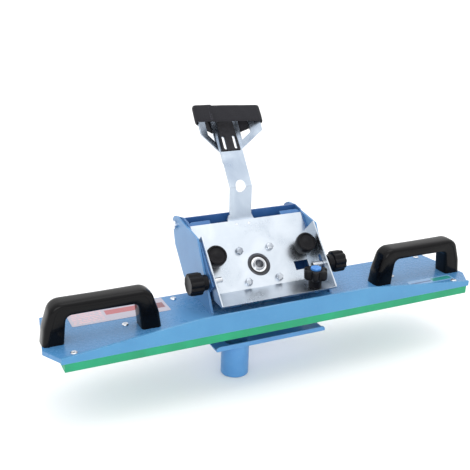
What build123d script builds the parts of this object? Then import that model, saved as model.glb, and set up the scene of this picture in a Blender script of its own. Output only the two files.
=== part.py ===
from build123d import *
import math
import os

# Mitre-cutting guide for an angle grinder.
# Frame: origin at the middle of the front edge of the sole's sliding face, +X along the base,
# +Y from the front rail to the back, +Z up.  Millimetres.

# ---- base -------------------------------------------------------------------------------------
sole_length = 620.0
sole_height = 12.0
front_sole_depth = 30.0
rear_sole_depth = 21.0
base_depth = 125.0
deck_thickness = 6.0
deck_overhang = 20.0
deck_corner_depth = 33.0
deck_corner_width = 17.0
deck_end_taper = 16.0
rail_overhang = 4.0
rail_thickness = 3.0
rail_height = 27.0
rail_end_height = 8.0
rail_flat_length = 263.0
blade_slot_front = 56.0
blade_slot_back = 106.0

# ---- handles ----------------------------------------------------------------------------------
handle_from_end = 61.0
handle_bolt_reach = 18.0
handle_front = 38.0
handle_length = 158.0
handle_depth = 28.0
handle_height = 56.0
handle_grip = 18.0
handle_foot = 28.0
handle_edge = 8.0

# ---- box that carries the grinder ---------------------------------------------------------------
box_width = 192.0
side_plate_thickness = 3.0
cheek_thickness = 2.0
tray_sheet = 2.0
hood_sheet = 3.0
arm_sheet = 3.0
ramp_angle = 45.0
fold_y = 64.0
fold_height = 20.0
ramp_length = 107.0
ramp_lip = 7.0
flange_depth = 40.0
side_flange_length = 78.0
hinge_behind_fold = 118.0
hinge_above_fold = 65.0
hinge_pin_radius = 4.0
hinge_lug_radius = 13.0
rear_panel_setback = 40.0
notch_inset = 38.5
tilt_down = 2.0
tilt_up = 4.0
slide_down = 10.0
slide_up = 6.0

# ---- spindle and blade --------------------------------------------------------------------------
spindle_x = -4.0
spindle_up_ramp = 34.0
spindle_radius = 8.5
thread_radius = 6.0
thread_depth = 18.0
bearing_radius = 17.5
bearing_width = 10.0
ball_radius = 2.2
ball_count = 10
housing_size = 62.0
housing_bolt_spacing = 48.8
blade_radius = 57.5
blade_bore_radius = 11.1
blade_rim_width = 6.6
blade_rim_thickness = 2.4
blade_core_thickness = 1.6
blade_setback = 28.0
blade_flange_radius = 20.0

# ---- knobs --------------------------------------------------------------------------------------
stud_radius = 4.0
clamp_knob_inset = 24.0
clamp_knob_up_ramp = 50.0
clamp_knob_radius = 15.0
clamp_knob_height = 22.0
side_knob_y = 66.0
side_knob_z = 58.0
side_knob_radius = 16.0
side_knob_neck_radius = 11.0
side_knob_neck = 8.0
side_knob_head = 19.0
stop_knob_inset = 36.0
stop_knob_y = 36.0
stop_knob_radius = 18.0
stop_knob_neck_radius = 9.5
stop_knob_neck = 13.0
stop_knob_head = 14.0
stop_cap_radius = 7.5
stop_cap_height = 3.0
window_width = 23.0
window_height = 14.0
window_shift = 3.0
window_below_spindle = 11.0

# ---- arm, yoke and strap --------------------------------------------------------------------------
arm_x = -9.0
arm_width = 35.0
arm_foot_width = 42.0
arm_foot_length = 13.0
arm_bend_z = 163.0
arm_hole_radius = 8.5
upper_arm_angle = 52.0
upper_arm_length = 57.0
yoke_lap = 17.0
yoke_top = 118.0
yoke_sheet = 2.0
yoke_wing_length = 36.0
yoke_wing_angle = 35.0
yoke_wing_start = 80.0
yoke_window_inset = 4.5
yoke_window_width = 12.5
yoke_window_rise = 8.0
yoke_window_margin = 5.0
strap_height = 26.0
strap_thickness = 3.0
lining_thickness = 4.0

# ---- dust trough and tube -------------------------------------------------------------------------
trough_left_inset = 4.0
trough_right_inset = 14.0
trough_front = 35.0
trough_back = 100.0
trough_floor = -36.0
trough_lip = 7.0
trough_sheet = 2.0
tube_inset = 39.0
tube_y = 58.0
tube_radius = 20.0
tube_wall = 2.0
tube_length = 50.0

# ---- shared hardware and clearances -----------------------------------------------------------------
screw_radius = 2.5
screw_head_radius = 4.5
screw_head_height = 2.0
bolt_radius = 3.0
bolt_head_across = 10.0
bolt_head_height = 4.0
nut_across = 13.0
nut_height = 4.5
label_thickness = 0.3
thread_gap = 0.05
running_gap = 0.05
sliding_gap = 0.3
hole_gap = 0.4
face_gap = 0.2

# ---- worked-out places ------------------------------------------------------------------------------
deck_bottom = sole_height
deck_top = sole_height + deck_thickness
half_sole = sole_length / 2
half_deck = half_sole + deck_overhang
handle_centre = half_sole - handle_from_end
fold_z = deck_top + fold_height
slope_cos = math.cos(math.radians(ramp_angle))
slope_sin = math.sin(math.radians(ramp_angle))
flange_normal = flange_depth * slope_sin
fold_corner = tray_sheet * math.tan(math.radians(ramp_angle / 2))
side_outer = box_width / 2
clamp_knob_x = side_outer - clamp_knob_inset
stop_knob_x = side_outer - stop_knob_inset
window_x = stop_knob_x + window_shift
window_up = spindle_up_ramp - window_below_spindle
trough_left = -side_outer + trough_left_inset
trough_right = side_outer - trough_right_inset
tube_x = trough_left + tube_inset
blade_slot_length = 2 * blade_radius + 3
side_inner = side_outer - side_plate_thickness
cheek_outer = side_inner - sliding_gap
cheek_inner = cheek_outer - cheek_thickness
tray_outer = cheek_inner - sliding_gap
tray_inner = tray_outer - tray_sheet
hinge_y = fold_y + hinge_behind_fold
hinge_z = fold_z + hinge_above_fold
hood_front = -tray_sheet - face_gap
hood_back = hood_front - hood_sheet
ramp_top = ramp_length + ramp_lip

os.makedirs("parts", exist_ok=True)


def save(piece, label):
    piece.part.label = label
    export_step(piece.part, f"parts/{label}.step")


def ramp_plane(above=0.0):
    """The inclined plate's plane: local x is +X, local y runs up the slope from the fold."""
    origin = (0, fold_y - above * slope_sin, fold_z + above * slope_cos)
    return Plane(origin=origin, x_dir=(1, 0, 0), z_dir=(0, -slope_sin, slope_cos))


def ramp_point(up, above):
    """(Y, Z) of a point that lies so far up the slope and so far above the inclined plate."""
    return (
        fold_y + up * slope_cos - above * slope_sin,
        fold_z + up * slope_sin + above * slope_cos,
    )


def side_plane(x):
    """A plane across X whose local x is +Y and local y is +Z, facing +X."""
    return Plane(origin=(x, 0, 0), x_dir=(0, 1, 0), z_dir=(1, 0, 0))


def half_length_at(y):
    """Half of the deck's length at a given depth, behind the front corners."""
    along = (y - deck_corner_depth) / (base_depth - deck_corner_depth)
    return half_deck - deck_end_taper * along


# ---- base deck: blue plate with tapered ends and the slot that the blade passes through ---------------
screw_from_edge = 13.0
sole_screw_y = screw_from_edge
rear_screw_y = base_depth - screw_from_edge
middle_screw_y = base_depth / 2 - 0.5
sole_screw_x = half_sole - 15
sole_inner_screw_x = side_outer + 54
rear_screw_x = half_sole - 11
rear_inner_screw_x = side_outer + 31
middle_screw_x = handle_centre - 35
sole_screw_spots = [
    (x, sole_screw_y) for x in (-sole_screw_x, -sole_inner_screw_x, sole_inner_screw_x, sole_screw_x)
]
rear_screw_spots = [
    (x, rear_screw_y) for x in (-rear_screw_x, -rear_inner_screw_x, rear_inner_screw_x, rear_screw_x)
]
middle_screw_spots = [(x, middle_screw_y) for x in (-middle_screw_x, middle_screw_x)]
deck_screw_spots = rear_screw_spots + middle_screw_spots
handle_screw_x = handle_length / 2 - handle_foot / 2
handle_screw_spots = [
    (side * handle_centre + end * handle_screw_x, handle_front + handle_depth / 2)
    for side in (-1, 1)
    for end in (-1, 1)
]
trough_screw_y = trough_back + 12.0
trough_screw_spots = [(x, trough_screw_y) for x in (trough_left + 15, trough_right - 15)]

with BuildPart() as base_deck:
    with BuildSketch(Plane.XY.offset(deck_bottom)):
        with BuildLine():
            Polyline(
                (-half_deck + deck_corner_width, rail_thickness),
                (half_deck - deck_corner_width, rail_thickness),
                (half_deck, deck_corner_depth),
                (half_length_at(base_depth), base_depth),
                (-half_length_at(base_depth), base_depth),
                (-half_deck, deck_corner_depth),
                close=True,
            )
        make_face()
        with Locations((spindle_x, (blade_slot_front + blade_slot_back) / 2)):
            RectangleRounded(
                blade_slot_length, blade_slot_back - blade_slot_front, 3, mode=Mode.SUBTRACT
            )
        with Locations(*sole_screw_spots, *deck_screw_spots, *trough_screw_spots):
            Circle(screw_radius + hole_gap, mode=Mode.SUBTRACT)
        with Locations(*handle_screw_spots):
            Circle(bolt_radius + hole_gap, mode=Mode.SUBTRACT)
    extrude(amount=deck_thickness)
    chamfer(base_deck.edges().group_by(Axis.Z)[-1].filter_by(GeomType.LINE).sort_by(Axis.Y)[-1], 1)
save(base_deck, "base_deck")

# ---- front rail: upright strip along the deck's front edge, lower towards both ends -------------------
half_rail = half_sole + rail_overhang
with BuildPart() as front_rail:
    with BuildSketch(Plane.XZ):
        with BuildLine():
            Polyline(
                (-half_rail, deck_bottom),
                (half_rail, deck_bottom),
                (half_rail, deck_bottom + rail_end_height),
                (rail_flat_length / 2, deck_bottom + rail_height),
                (-rail_flat_length / 2, deck_bottom + rail_height),
                (-half_rail, deck_bottom + rail_end_height),
                close=True,
            )
        make_face()
    extrude(amount=-rail_thickness)
save(front_rail, "front_rail")


# ---- soles: plastic strips that slide on the tile -----------------------------------------------------
def sole_strip(x_from, x_to, y_from, y_to, screw_spots):
    with BuildPart() as strip:
        with BuildSketch(Plane.XY):
            with Locations(((x_from + x_to) / 2, (y_from + y_to) / 2)):
                Rectangle(x_to - x_from, y_to - y_from)
            with Locations(*screw_spots):
                Circle(screw_radius + thread_gap, mode=Mode.SUBTRACT)
        extrude(amount=sole_height)
        chamfer(strip.edges().group_by(Axis.Z)[0].filter_by(Axis.X), 0.8)
    return strip


rear_sole_inner = side_outer + 9.0
save(
    sole_strip(-half_sole, half_sole, 0, front_sole_depth, sole_screw_spots),
    "front_sole",
)
save(
    sole_strip(
        -half_sole, -rear_sole_inner, base_depth - rear_sole_depth, base_depth, rear_screw_spots[:2]
    ),
    "rear_sole_left",
)
save(
    sole_strip(
        rear_sole_inner, half_sole, base_depth - rear_sole_depth, base_depth, rear_screw_spots[2:]
    ),
    "rear_sole_right",
)
with BuildPart() as middle_pads:
    with BuildSketch(Plane.XY):
        with Locations(*middle_screw_spots):
            RectangleRounded(40, 22, 3)
            Circle(screw_radius + thread_gap, mode=Mode.SUBTRACT)
    extrude(amount=sole_height)
save(middle_pads, "middle_sole_pads")


# ---- screws through the deck --------------------------------------------------------------------------
cross_length = 4.6
cross_width = 0.9
cross_depth = 1.0


def deck_screws(spots, length):
    """Pan-head screws with a cross recess, heads on the deck, shanks down into what they hold."""
    with BuildPart() as screws:
        with BuildSketch(Plane.XY.offset(deck_top)):
            with Locations(*spots):
                Circle(screw_head_radius)
        extrude(amount=screw_head_height)
        fillet(screws.edges().group_by(Axis.Z)[-1], 1.2)
        with BuildSketch(Plane.XY.offset(deck_top)):
            with Locations(*spots):
                Circle(screw_radius)
        extrude(amount=-length)
        with BuildSketch(Plane.XY.offset(deck_top + screw_head_height)):
            with Locations(*spots):
                Rectangle(cross_length, cross_width)
                Rectangle(cross_width, cross_length)
        extrude(amount=-cross_depth, mode=Mode.SUBTRACT)
    return screws


save(deck_screws(sole_screw_spots, deck_thickness + sole_height - 3), "front_sole_screws")
save(deck_screws(deck_screw_spots, deck_thickness + sole_height - 3), "deck_screws")
save(deck_screws(trough_screw_spots, deck_thickness + trough_sheet + 4), "trough_screws")


# ---- handles: moulded grips, bolted from below --------------------------------------------------------
handle_bolt_head_height = 3.0
handle_bolt_hex = 2.5
handle_inner_corner = 9.0


def handle(centre):
    half = handle_length / 2
    top = deck_top + handle_height
    inner_half = half - handle_foot
    with BuildPart() as grip:
        with BuildSketch(Plane.XZ.offset(-handle_front - handle_depth)):
            with BuildLine():
                FilletPolyline(
                    (centre - half, deck_top),
                    (centre - half + 3, deck_top + 22),
                    (centre - half + 14, top),
                    (centre + half - 14, top),
                    (centre + half - 3, deck_top + 22),
                    (centre + half, deck_top),
                    radius=20,
                )
                Line((centre + half, deck_top), (centre - half, deck_top))
            make_face()
            with BuildLine():
                Polyline(
                    (centre - inner_half, deck_top),
                    (centre - inner_half + 4, top - handle_grip),
                    (centre + inner_half - 4, top - handle_grip),
                    (centre + inner_half, deck_top),
                    close=True,
                )
            make_face(mode=Mode.SUBTRACT)
        extrude(amount=handle_depth)
        under_grip = [
            e for e in grip.edges().filter_by(Axis.Y) if abs(e.center().Z - top + handle_grip) < 0.01
        ]
        fillet(under_grip, handle_inner_corner)
        rim = [
            e
            for e in grip.faces().sort_by(Axis.Y)[0].edges() + grip.faces().sort_by(Axis.Y)[-1].edges()
            if e.center().Z > deck_top + 0.01
        ]
        fillet(rim, handle_edge)
        with BuildSketch(Plane.XY.offset(deck_top)):
            with Locations((centre, handle_front + handle_depth / 2)):
                with GridLocations(2 * handle_screw_x, 1, 2, 1):
                    Circle(bolt_radius + thread_gap)
        extrude(amount=handle_bolt_reach + 4, mode=Mode.SUBTRACT)
    return grip


save(handle(-handle_centre), "left_handle")
save(handle(handle_centre), "right_handle")

with BuildPart() as handle_bolts:
    with BuildSketch(Plane.XY.offset(deck_bottom)):
        with Locations(*handle_screw_spots):
            Circle(bolt_radius)
    extrude(amount=deck_thickness + handle_bolt_reach)
    with BuildSketch(Plane.XY.offset(deck_bottom)):
        with Locations(*handle_screw_spots):
            Circle(bolt_head_across / 2)
    extrude(amount=-handle_bolt_head_height)
    with BuildSketch(Plane.XY.offset(deck_bottom - handle_bolt_head_height)):
        with Locations(*handle_screw_spots):
            RegularPolygon(handle_bolt_hex, 6)
    extrude(amount=handle_bolt_head_height - 1, mode=Mode.SUBTRACT)
save(handle_bolts, "handle_bolts")

# ---- side plates: welded upright on the deck, with the hinge lug and the clamp slot -------------------
knob_reach = math.hypot(hinge_y - side_knob_y, hinge_z - side_knob_z)
knob_angle = math.degrees(math.atan2(side_knob_z - hinge_z, side_knob_y - hinge_y))
tilt_slack = math.degrees((stud_radius + sliding_gap) / knob_reach)


def arc_slot(width):
    """The slot that a clamp stud sweeps as the hood tilts about the hinge."""
    with BuildSketch(mode=Mode.PRIVATE) as slot:
        with BuildLine():
            CenterArc((hinge_y, hinge_z), knob_reach, knob_angle - tilt_up - 1, tilt_up + tilt_down + 2)
            offset(amount=width / 2)
        make_face()
    return slot.sketch


def side_plate(inner_x):
    front_top = ramp_point(side_flange_length, flange_normal)
    with BuildPart() as plate:
        with BuildSketch(side_plane(inner_x)):
            with BuildLine():
                Polyline(
                    (fold_y - 19, deck_top),
                    (fold_y + 41, deck_top),
                    (hinge_y - 32, deck_top + 16),
                    (hinge_y + 3, hinge_z - 32),
                    (hinge_y + hinge_lug_radius, hinge_z),
                    (hinge_y, hinge_z + hinge_lug_radius),
                    (hinge_y - 8, hinge_z + hinge_lug_radius + 1),
                    (front_top[0] + 2, front_top[1] - 4),
                    close=True,
                )
            make_face()
            with Locations((hinge_y, hinge_z)):
                Circle(hinge_lug_radius)
                Circle(hinge_pin_radius + thread_gap, mode=Mode.SUBTRACT)
            add(arc_slot(2 * stud_radius + 2 * sliding_gap), mode=Mode.SUBTRACT)
        extrude(amount=side_plate_thickness)
    return plate


save(side_plate(-side_outer), "left_side_plate")
save(side_plate(side_inner), "right_side_plate")

# ---- hinge pins: shouldered bolts in the side plates, with a nut inside each cheek --------------------
pin_head_radius = 6.5
pin_head_height = 4.5
pin_length = side_plate_thickness + cheek_thickness + 2 * sliding_gap + nut_height + 1.5
with BuildPart() as hinge_pins:
    for side in (-1, 1):
        with BuildSketch(side_plane(side * side_outer)):
            with Locations((hinge_y, hinge_z)):
                Circle(pin_head_radius)
        extrude(amount=side * pin_head_height)
        with BuildSketch(side_plane(side * side_outer)):
            with Locations((hinge_y, hinge_z)):
                Circle(hinge_pin_radius)
        extrude(amount=-side * pin_length)
    fillet(hinge_pins.edges().filter_by(GeomType.CIRCLE).group_by(Axis.X)[0], 1.5)
    fillet(hinge_pins.edges().filter_by(GeomType.CIRCLE).group_by(Axis.X)[-1], 1.5)
save(hinge_pins, "hinge_pins")

with BuildPart() as hinge_nuts:
    for side in (-1, 1):
        with BuildSketch(side_plane(side * (cheek_inner - sliding_gap))):
            with Locations((hinge_y, hinge_z)):
                RegularPolygon(nut_across / 2, 6, major_radius=False)
                Circle(hinge_pin_radius + thread_gap, mode=Mode.SUBTRACT)
        extrude(amount=-side * nut_height)
save(hinge_nuts, "hinge_nuts")


# ---- printed labels on the deck -----------------------------------------------------------------------
def label(x_from, x_to, y_from, y_to):
    with BuildPart() as sticker:
        with BuildSketch(Plane.XY.offset(deck_top)):
            with Locations(((x_from + x_to) / 2, (y_from + y_to) / 2)):
                RectangleRounded(x_to - x_from, y_to - y_from, 2)
        extrude(amount=label_thickness)
    return sticker


left_label_start = -half_sole + 30
left_label_length = 138.0
left_label_back = base_depth - 3
left_label_depth = 42.0
right_label_start = handle_centre - 27
right_label_length = 80.0
right_label_front = handle_front - 19
right_label_depth = 16.0
save(
    label(
        left_label_start,
        left_label_start + left_label_length,
        left_label_back - left_label_depth,
        left_label_back,
    ),
    "left_label",
)
save(
    label(
        right_label_start,
        right_label_start + right_label_length,
        right_label_front,
        right_label_front + right_label_depth,
    ),
    "right_label",
)

# ---- dust trough: bent sheet under the blade slot, hung from the deck's underside ---------------------
with BuildPart() as dust_trough:
    with BuildSketch(side_plane(trough_left)):
        with BuildLine():
            Polyline(
                (trough_front, trough_floor + trough_lip),
                (trough_front, trough_floor),
                (trough_back + trough_sheet, trough_floor),
                (trough_back + trough_sheet, deck_bottom - trough_sheet),
                (trough_screw_y + 8, deck_bottom - trough_sheet),
                (trough_screw_y + 8, deck_bottom),
                (trough_back, deck_bottom),
                (trough_back, trough_floor + trough_sheet),
                (trough_front + trough_sheet, trough_floor + trough_sheet),
                (trough_front + trough_sheet, trough_floor + trough_lip),
                close=True,
            )
        make_face()
    extrude(amount=trough_right - trough_left)
    lip_ends = dust_trough.edges().filter_by(Axis.Y).group_by(Axis.Y)[0].group_by(Axis.Z)[-1]
    fillet(lip_ends, trough_lip - trough_sheet - 0.5)
    with BuildSketch(Plane.XY.offset(trough_floor)):
        with Locations((tube_x, tube_y)):
            Circle(tube_radius - tube_wall)
    extrude(amount=trough_sheet, mode=Mode.SUBTRACT)
    with BuildSketch(Plane.XY.offset(deck_bottom)):
        with Locations(*trough_screw_spots):
            Circle(screw_radius + hole_gap)
    extrude(amount=-trough_sheet, mode=Mode.SUBTRACT)
save(dust_trough, "dust_trough")

# ---- dust tube: round spigot for a vacuum hose, welded under the trough -------------------------------
with BuildPart() as dust_tube:
    with BuildSketch(Plane.XY.offset(trough_floor)):
        with Locations((tube_x, tube_y)):
            Circle(tube_radius)
            Circle(tube_radius - tube_wall, mode=Mode.SUBTRACT)
    extrude(amount=-tube_length)
    chamfer(dust_tube.edges().group_by(Axis.Z)[0], 0.5)
save(dust_tube, "dust_tube")

# ---- hood: tilting frame behind the tray, hinged at its rear ------------------------------------------
housing_low = spindle_up_ramp - housing_size / 2 - slide_down - 1
housing_high = spindle_up_ramp + housing_size / 2 + slide_up + 1
notch_bottom = ramp_length - arm_foot_length - slide_down - 1
with BuildPart() as hood_back_plate:
    with BuildSketch(ramp_plane(hood_back)):
        with Locations((0, (ramp_top - 4) / 2)):
            Rectangle(2 * cheek_inner, ramp_top + 4)
        with Locations((spindle_x, (housing_low + housing_high) / 2)):
            Rectangle(housing_size + 2, housing_high - housing_low, mode=Mode.SUBTRACT)
        with Locations((0, (notch_bottom + ramp_top + 1) / 2)):
            Rectangle(2 * (side_outer - notch_inset), ramp_top + 1 - notch_bottom, mode=Mode.SUBTRACT)
        with Locations((window_x, window_up)):
            Rectangle(window_width + 2, window_height + 2, mode=Mode.SUBTRACT)
        with Locations((-clamp_knob_x, clamp_knob_up_ramp), (clamp_knob_x, clamp_knob_up_ramp)):
            Circle(stud_radius + running_gap, mode=Mode.SUBTRACT)
    extrude(amount=hood_sheet)
    outer_edges = [
        e
        for e in hood_back_plate.edges().filter_by(GeomType.LINE)
        if abs(abs(e.center().X) - cheek_inner) < 0.01 and abs(e.length - hood_sheet) < 0.01
    ]
    fillet(ShapeList(outer_edges).group_by(Axis.Z)[-1], 6)
save(hood_back_plate, "hood_back_plate")

panel_front = -rear_panel_setback
panel_low = ramp_point(rear_panel_setback * 0.55, panel_front)
blade_reach_y = ramp_point(spindle_up_ramp + blade_radius, -blade_setback)[0]
panel_wall_y = blade_reach_y + 10.5
bend_up = (panel_wall_y - fold_y + panel_front * slope_sin) / slope_cos
panel_bend = ramp_point(bend_up, panel_front)
panel_top_z = hinge_z + 17.0
with BuildPart() as hood_rear_panel:
    with BuildSketch(side_plane(-cheek_inner)):
        with BuildLine():
            FilletPolyline(panel_low, panel_bend, (panel_wall_y, panel_top_z), radius=10)
            offset(amount=tray_sheet, side=Side.RIGHT)
        make_face()
    extrude(amount=2 * cheek_inner)
save(hood_rear_panel, "hood_rear_panel")


def cheek(inner_x):
    with BuildPart() as web:
        with BuildSketch(side_plane(inner_x)):
            with BuildLine():
                Polyline(
                    ramp_point(2, -8),
                    ramp_point(4, flange_normal - 6),
                    ramp_point(side_flange_length - 6, flange_normal - 6),
                    ramp_point(side_flange_length + 2, 2),
                    ramp_point(ramp_top - 1, 0),
                    (panel_wall_y + 2, panel_top_z),
                    (hinge_y, hinge_z + hinge_lug_radius - 1),
                    (hinge_y + hinge_lug_radius - 1, hinge_z),
                    (hinge_y, hinge_z - hinge_lug_radius + 1),
                    (panel_bend[0] + 3, panel_bend[1] - 1),
                    (panel_low[0] + 2, panel_low[1] - 2),
                    close=True,
                )
            make_face()
            with Locations((hinge_y, hinge_z)):
                Circle(hinge_lug_radius - 1)
                Circle(hinge_pin_radius + running_gap, mode=Mode.SUBTRACT)
            with Locations((side_knob_y, side_knob_z)):
                Circle(stud_radius + running_gap, mode=Mode.SUBTRACT)
        extrude(amount=cheek_thickness)
    return web


save(cheek(-cheek_outer), "hood_left_cheek")
save(cheek(cheek_inner), "hood_right_cheek")

clamp_spots = [(-clamp_knob_x, clamp_knob_up_ramp), (clamp_knob_x, clamp_knob_up_ramp)]
with BuildPart() as clamp_nuts:
    with BuildSketch(ramp_plane(hood_back)):
        with Locations(*clamp_spots):
            RegularPolygon(nut_across / 2, 6, major_radius=False)
            Circle(stud_radius + running_gap, mode=Mode.SUBTRACT)
    extrude(amount=-nut_height)
save(clamp_nuts, "clamp_weld_nuts")

# ---- tray: folded zinc sheet with the bearing hole, clamp slots and a window --------------------------
slot_width = 2 * stud_radius + 1.0
slot_travel = slide_up + slide_down
slot_shift = (slide_down - slide_up) / 2
side_stud_up = (side_knob_y - fold_y) * slope_cos + (side_knob_z - fold_z) * slope_sin
side_stud_above = (side_knob_z - fold_z) * slope_cos - (side_knob_y - fold_y) * slope_sin
bolt_spots = [
    (spindle_x + i * housing_bolt_spacing / 2, spindle_up_ramp + j * housing_bolt_spacing / 2)
    for i in (-1, 1)
    for j in (-1, 1)
]
arm_rivet_spots = [(arm_x + i * 10.0, ramp_length - arm_foot_length / 2) for i in (-1, 1)]
with BuildPart() as tray:
    with BuildSketch(ramp_plane(-tray_sheet)):
        with Locations((0, ramp_length / 2)):
            Rectangle(2 * tray_outer, ramp_length)
    extrude(amount=tray_sheet)
    with BuildSketch(Plane.XY.offset(fold_z - tray_sheet)):
        with Locations((0, fold_y + (fold_corner - flange_depth) / 2)):
            Rectangle(2 * tray_outer, flange_depth + fold_corner)
    extrude(amount=tray_sheet)
    for inner_x in (-tray_outer, tray_inner):
        with BuildSketch(side_plane(inner_x)):
            with BuildLine():
                Polyline(
                    ramp_point(side_flange_length, -tray_sheet),
                    ramp_point(side_flange_length, flange_normal),
                    (fold_y - flange_depth, fold_z),
                    (fold_y - flange_depth, fold_z - tray_sheet),
                    (fold_y + fold_corner, fold_z - tray_sheet),
                    close=True,
                )
            make_face()
        extrude(amount=tray_sheet)
    front_corners = tray.edges().filter_by(Axis.Z).group_by(Axis.Y)[0]
    fillet(front_corners, 2)
    with BuildSketch(ramp_plane(-tray_sheet - 1)):
        with Locations((spindle_x, spindle_up_ramp)):
            Circle(bearing_radius + thread_gap)
        with Locations(*bolt_spots):
            Circle(bolt_radius + hole_gap)
        with Locations(*arm_rivet_spots):
            Circle(2 + thread_gap)
        with Locations(*[(x, up + slot_shift) for x, up in clamp_spots]):
            SlotCenterToCenter(slot_travel, slot_width, rotation=90)
        with Locations((window_x, window_up)):
            Rectangle(window_width, window_height)
    extrude(amount=tray_sheet + 2, mode=Mode.SUBTRACT)
    slot_from = ramp_point(side_stud_up - slide_up, side_stud_above)
    slot_to = ramp_point(side_stud_up + slide_down, side_stud_above)
    slot_middle = ((slot_from[0] + slot_to[0]) / 2, (slot_from[1] + slot_to[1]) / 2)
    for inner_x in (-tray_outer, tray_inner):
        with BuildSketch(side_plane(inner_x)):
            with Locations(slot_middle):
                SlotCenterToCenter(slot_travel, slot_width, rotation=ramp_angle)
        extrude(amount=tray_sheet, mode=Mode.SUBTRACT)
    with BuildSketch(Plane.XY.offset(fold_z - tray_sheet)):
        with Locations((stop_knob_x, stop_knob_y)):
            Circle(stud_radius + hole_gap)
    extrude(amount=tray_sheet, mode=Mode.SUBTRACT)
save(tray, "tray")

# ---- bearing housing: square block behind the tray ----------------------------------------------------
bearing_face = -0.5
bearing_back = bearing_face - bearing_width
housing_back = bearing_back - 2.5
with BuildPart() as bearing_housing:
    with BuildSketch(ramp_plane(housing_back)):
        with Locations((spindle_x, spindle_up_ramp)):
            RectangleRounded(housing_size, housing_size, 5)
            Circle(bearing_radius - 3, mode=Mode.SUBTRACT)
        with Locations(*bolt_spots):
            Circle(bolt_radius + thread_gap, mode=Mode.SUBTRACT)
    extrude(amount=-housing_back - tray_sheet)
    with BuildSketch(ramp_plane(bearing_back)):
        with Locations((spindle_x, spindle_up_ramp)):
            Circle(bearing_radius + thread_gap)
    extrude(amount=-bearing_back, mode=Mode.SUBTRACT)
save(bearing_housing, "bearing_housing")

with BuildPart() as housing_bolts:
    with BuildSketch(ramp_plane(0)):
        with Locations(*bolt_spots):
            RegularPolygon(bolt_head_across / 2, 6, major_radius=False)
    extrude(amount=bolt_head_height)
    with BuildSketch(ramp_plane(0)):
        with Locations(*bolt_spots):
            Circle(bolt_radius)
    extrude(amount=housing_back + 1)
save(housing_bolts, "housing_bolts")


# ---- bearing: two grooved races, balls and a seal on each face ----------------------------------------
def bearing_plane(above):
    origin = ramp_plane(above).from_local_coords(Vector(spindle_x, spindle_up_ramp, 0))
    return Plane(origin=origin, x_dir=(1, 0, 0), z_dir=(0, -slope_sin, slope_cos))


ball_circle = (spindle_radius + bearing_radius) / 2
race_wall = (bearing_radius - spindle_radius) / 3
bearing_middle = (bearing_face + bearing_back) / 2


def race(inner, outer):
    with BuildPart() as ring:
        with BuildSketch(bearing_plane(bearing_back)):
            Circle(outer)
            Circle(inner, mode=Mode.SUBTRACT)
        extrude(amount=bearing_width)
        with Locations(bearing_plane(bearing_middle)):
            Torus(ball_circle, ball_radius + running_gap, mode=Mode.SUBTRACT)
    return ring


save(race(bearing_radius - race_wall, bearing_radius), "bearing_outer_race")
save(race(spindle_radius, spindle_radius + race_wall), "bearing_inner_race")

with BuildPart() as bearing_balls:
    with Locations(bearing_plane(bearing_middle)):
        with PolarLocations(ball_circle, ball_count):
            Sphere(ball_radius)
save(bearing_balls, "bearing_balls")

with BuildPart() as bearing_seals:
    for height in (bearing_face - 1.2, bearing_back + 0.4):
        with BuildSketch(bearing_plane(height)):
            Circle(bearing_radius - race_wall)
            Circle(spindle_radius + race_wall + running_gap, mode=Mode.SUBTRACT)
        extrude(amount=0.8)
save(bearing_seals, "bearing_seals")

# ---- spindle: threaded socket in front for the grinder, seat for the blade behind ---------------------
spindle_front = 3.0
core_front = -blade_setback + blade_core_thickness / 2
core_back = -blade_setback - blade_core_thickness / 2
nut_back = core_back - 6.0
with BuildPart() as spindle:
    with BuildSketch(bearing_plane(nut_back - 2)):
        Circle(spindle_radius)
    extrude(amount=spindle_front - nut_back + 2)
    with BuildSketch(bearing_plane(spindle_front)):
        Circle(thread_radius)
    extrude(amount=-thread_depth, mode=Mode.SUBTRACT)
    chamfer(spindle.edges().filter_by(GeomType.CIRCLE).sort_by(lambda e: e.center().Z)[-2:], 0.6)
save(spindle, "spindle")

with BuildPart() as blade_flange:
    with BuildSketch(bearing_plane(core_front)):
        Circle(blade_flange_radius)
        Circle(spindle_radius + thread_gap, mode=Mode.SUBTRACT)
    extrude(amount=4)
    with BuildSketch(bearing_plane(core_front + 4)):
        Circle(blade_flange_radius - 8)
        Circle(spindle_radius + thread_gap, mode=Mode.SUBTRACT)
    extrude(amount=bearing_back - face_gap - core_front - 4 - 2)
    with BuildSketch(bearing_plane(core_back)):
        Circle(blade_bore_radius - thread_gap)
        Circle(spindle_radius + thread_gap, mode=Mode.SUBTRACT)
    extrude(amount=blade_core_thickness)
save(blade_flange, "blade_flange")

with BuildPart() as blade_nut:
    with BuildSketch(bearing_plane(nut_back)):
        Circle(blade_flange_radius - 3)
        Circle(spindle_radius + thread_gap, mode=Mode.SUBTRACT)
        with PolarLocations(blade_flange_radius - 6.5, 4):
            Circle(1.6, mode=Mode.SUBTRACT)
    extrude(amount=core_back - nut_back)
save(blade_nut, "blade_nut")

rim_inner = blade_radius - blade_rim_width
with BuildPart() as blade_core:
    with BuildSketch(bearing_plane(core_back)):
        Circle(rim_inner)
        Circle(blade_bore_radius, mode=Mode.SUBTRACT)
    extrude(amount=blade_core_thickness)
save(blade_core, "blade_core")

tooth_count = 40
with BuildPart() as blade_rim:
    with BuildSketch(bearing_plane(-blade_setback - blade_rim_thickness / 2)):
        Circle(blade_radius)
        Circle(rim_inner, mode=Mode.SUBTRACT)
    extrude(amount=blade_rim_thickness)
    for height, depth in ((blade_rim_thickness / 2, -0.5), (-blade_rim_thickness / 2, 0.5)):
        with BuildSketch(bearing_plane(-blade_setback + height)):
            with PolarLocations(blade_radius - 2, tooth_count):
                Rectangle(6, 1.6)
        extrude(amount=depth, mode=Mode.SUBTRACT)
save(blade_rim, "blade_rim")


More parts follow.
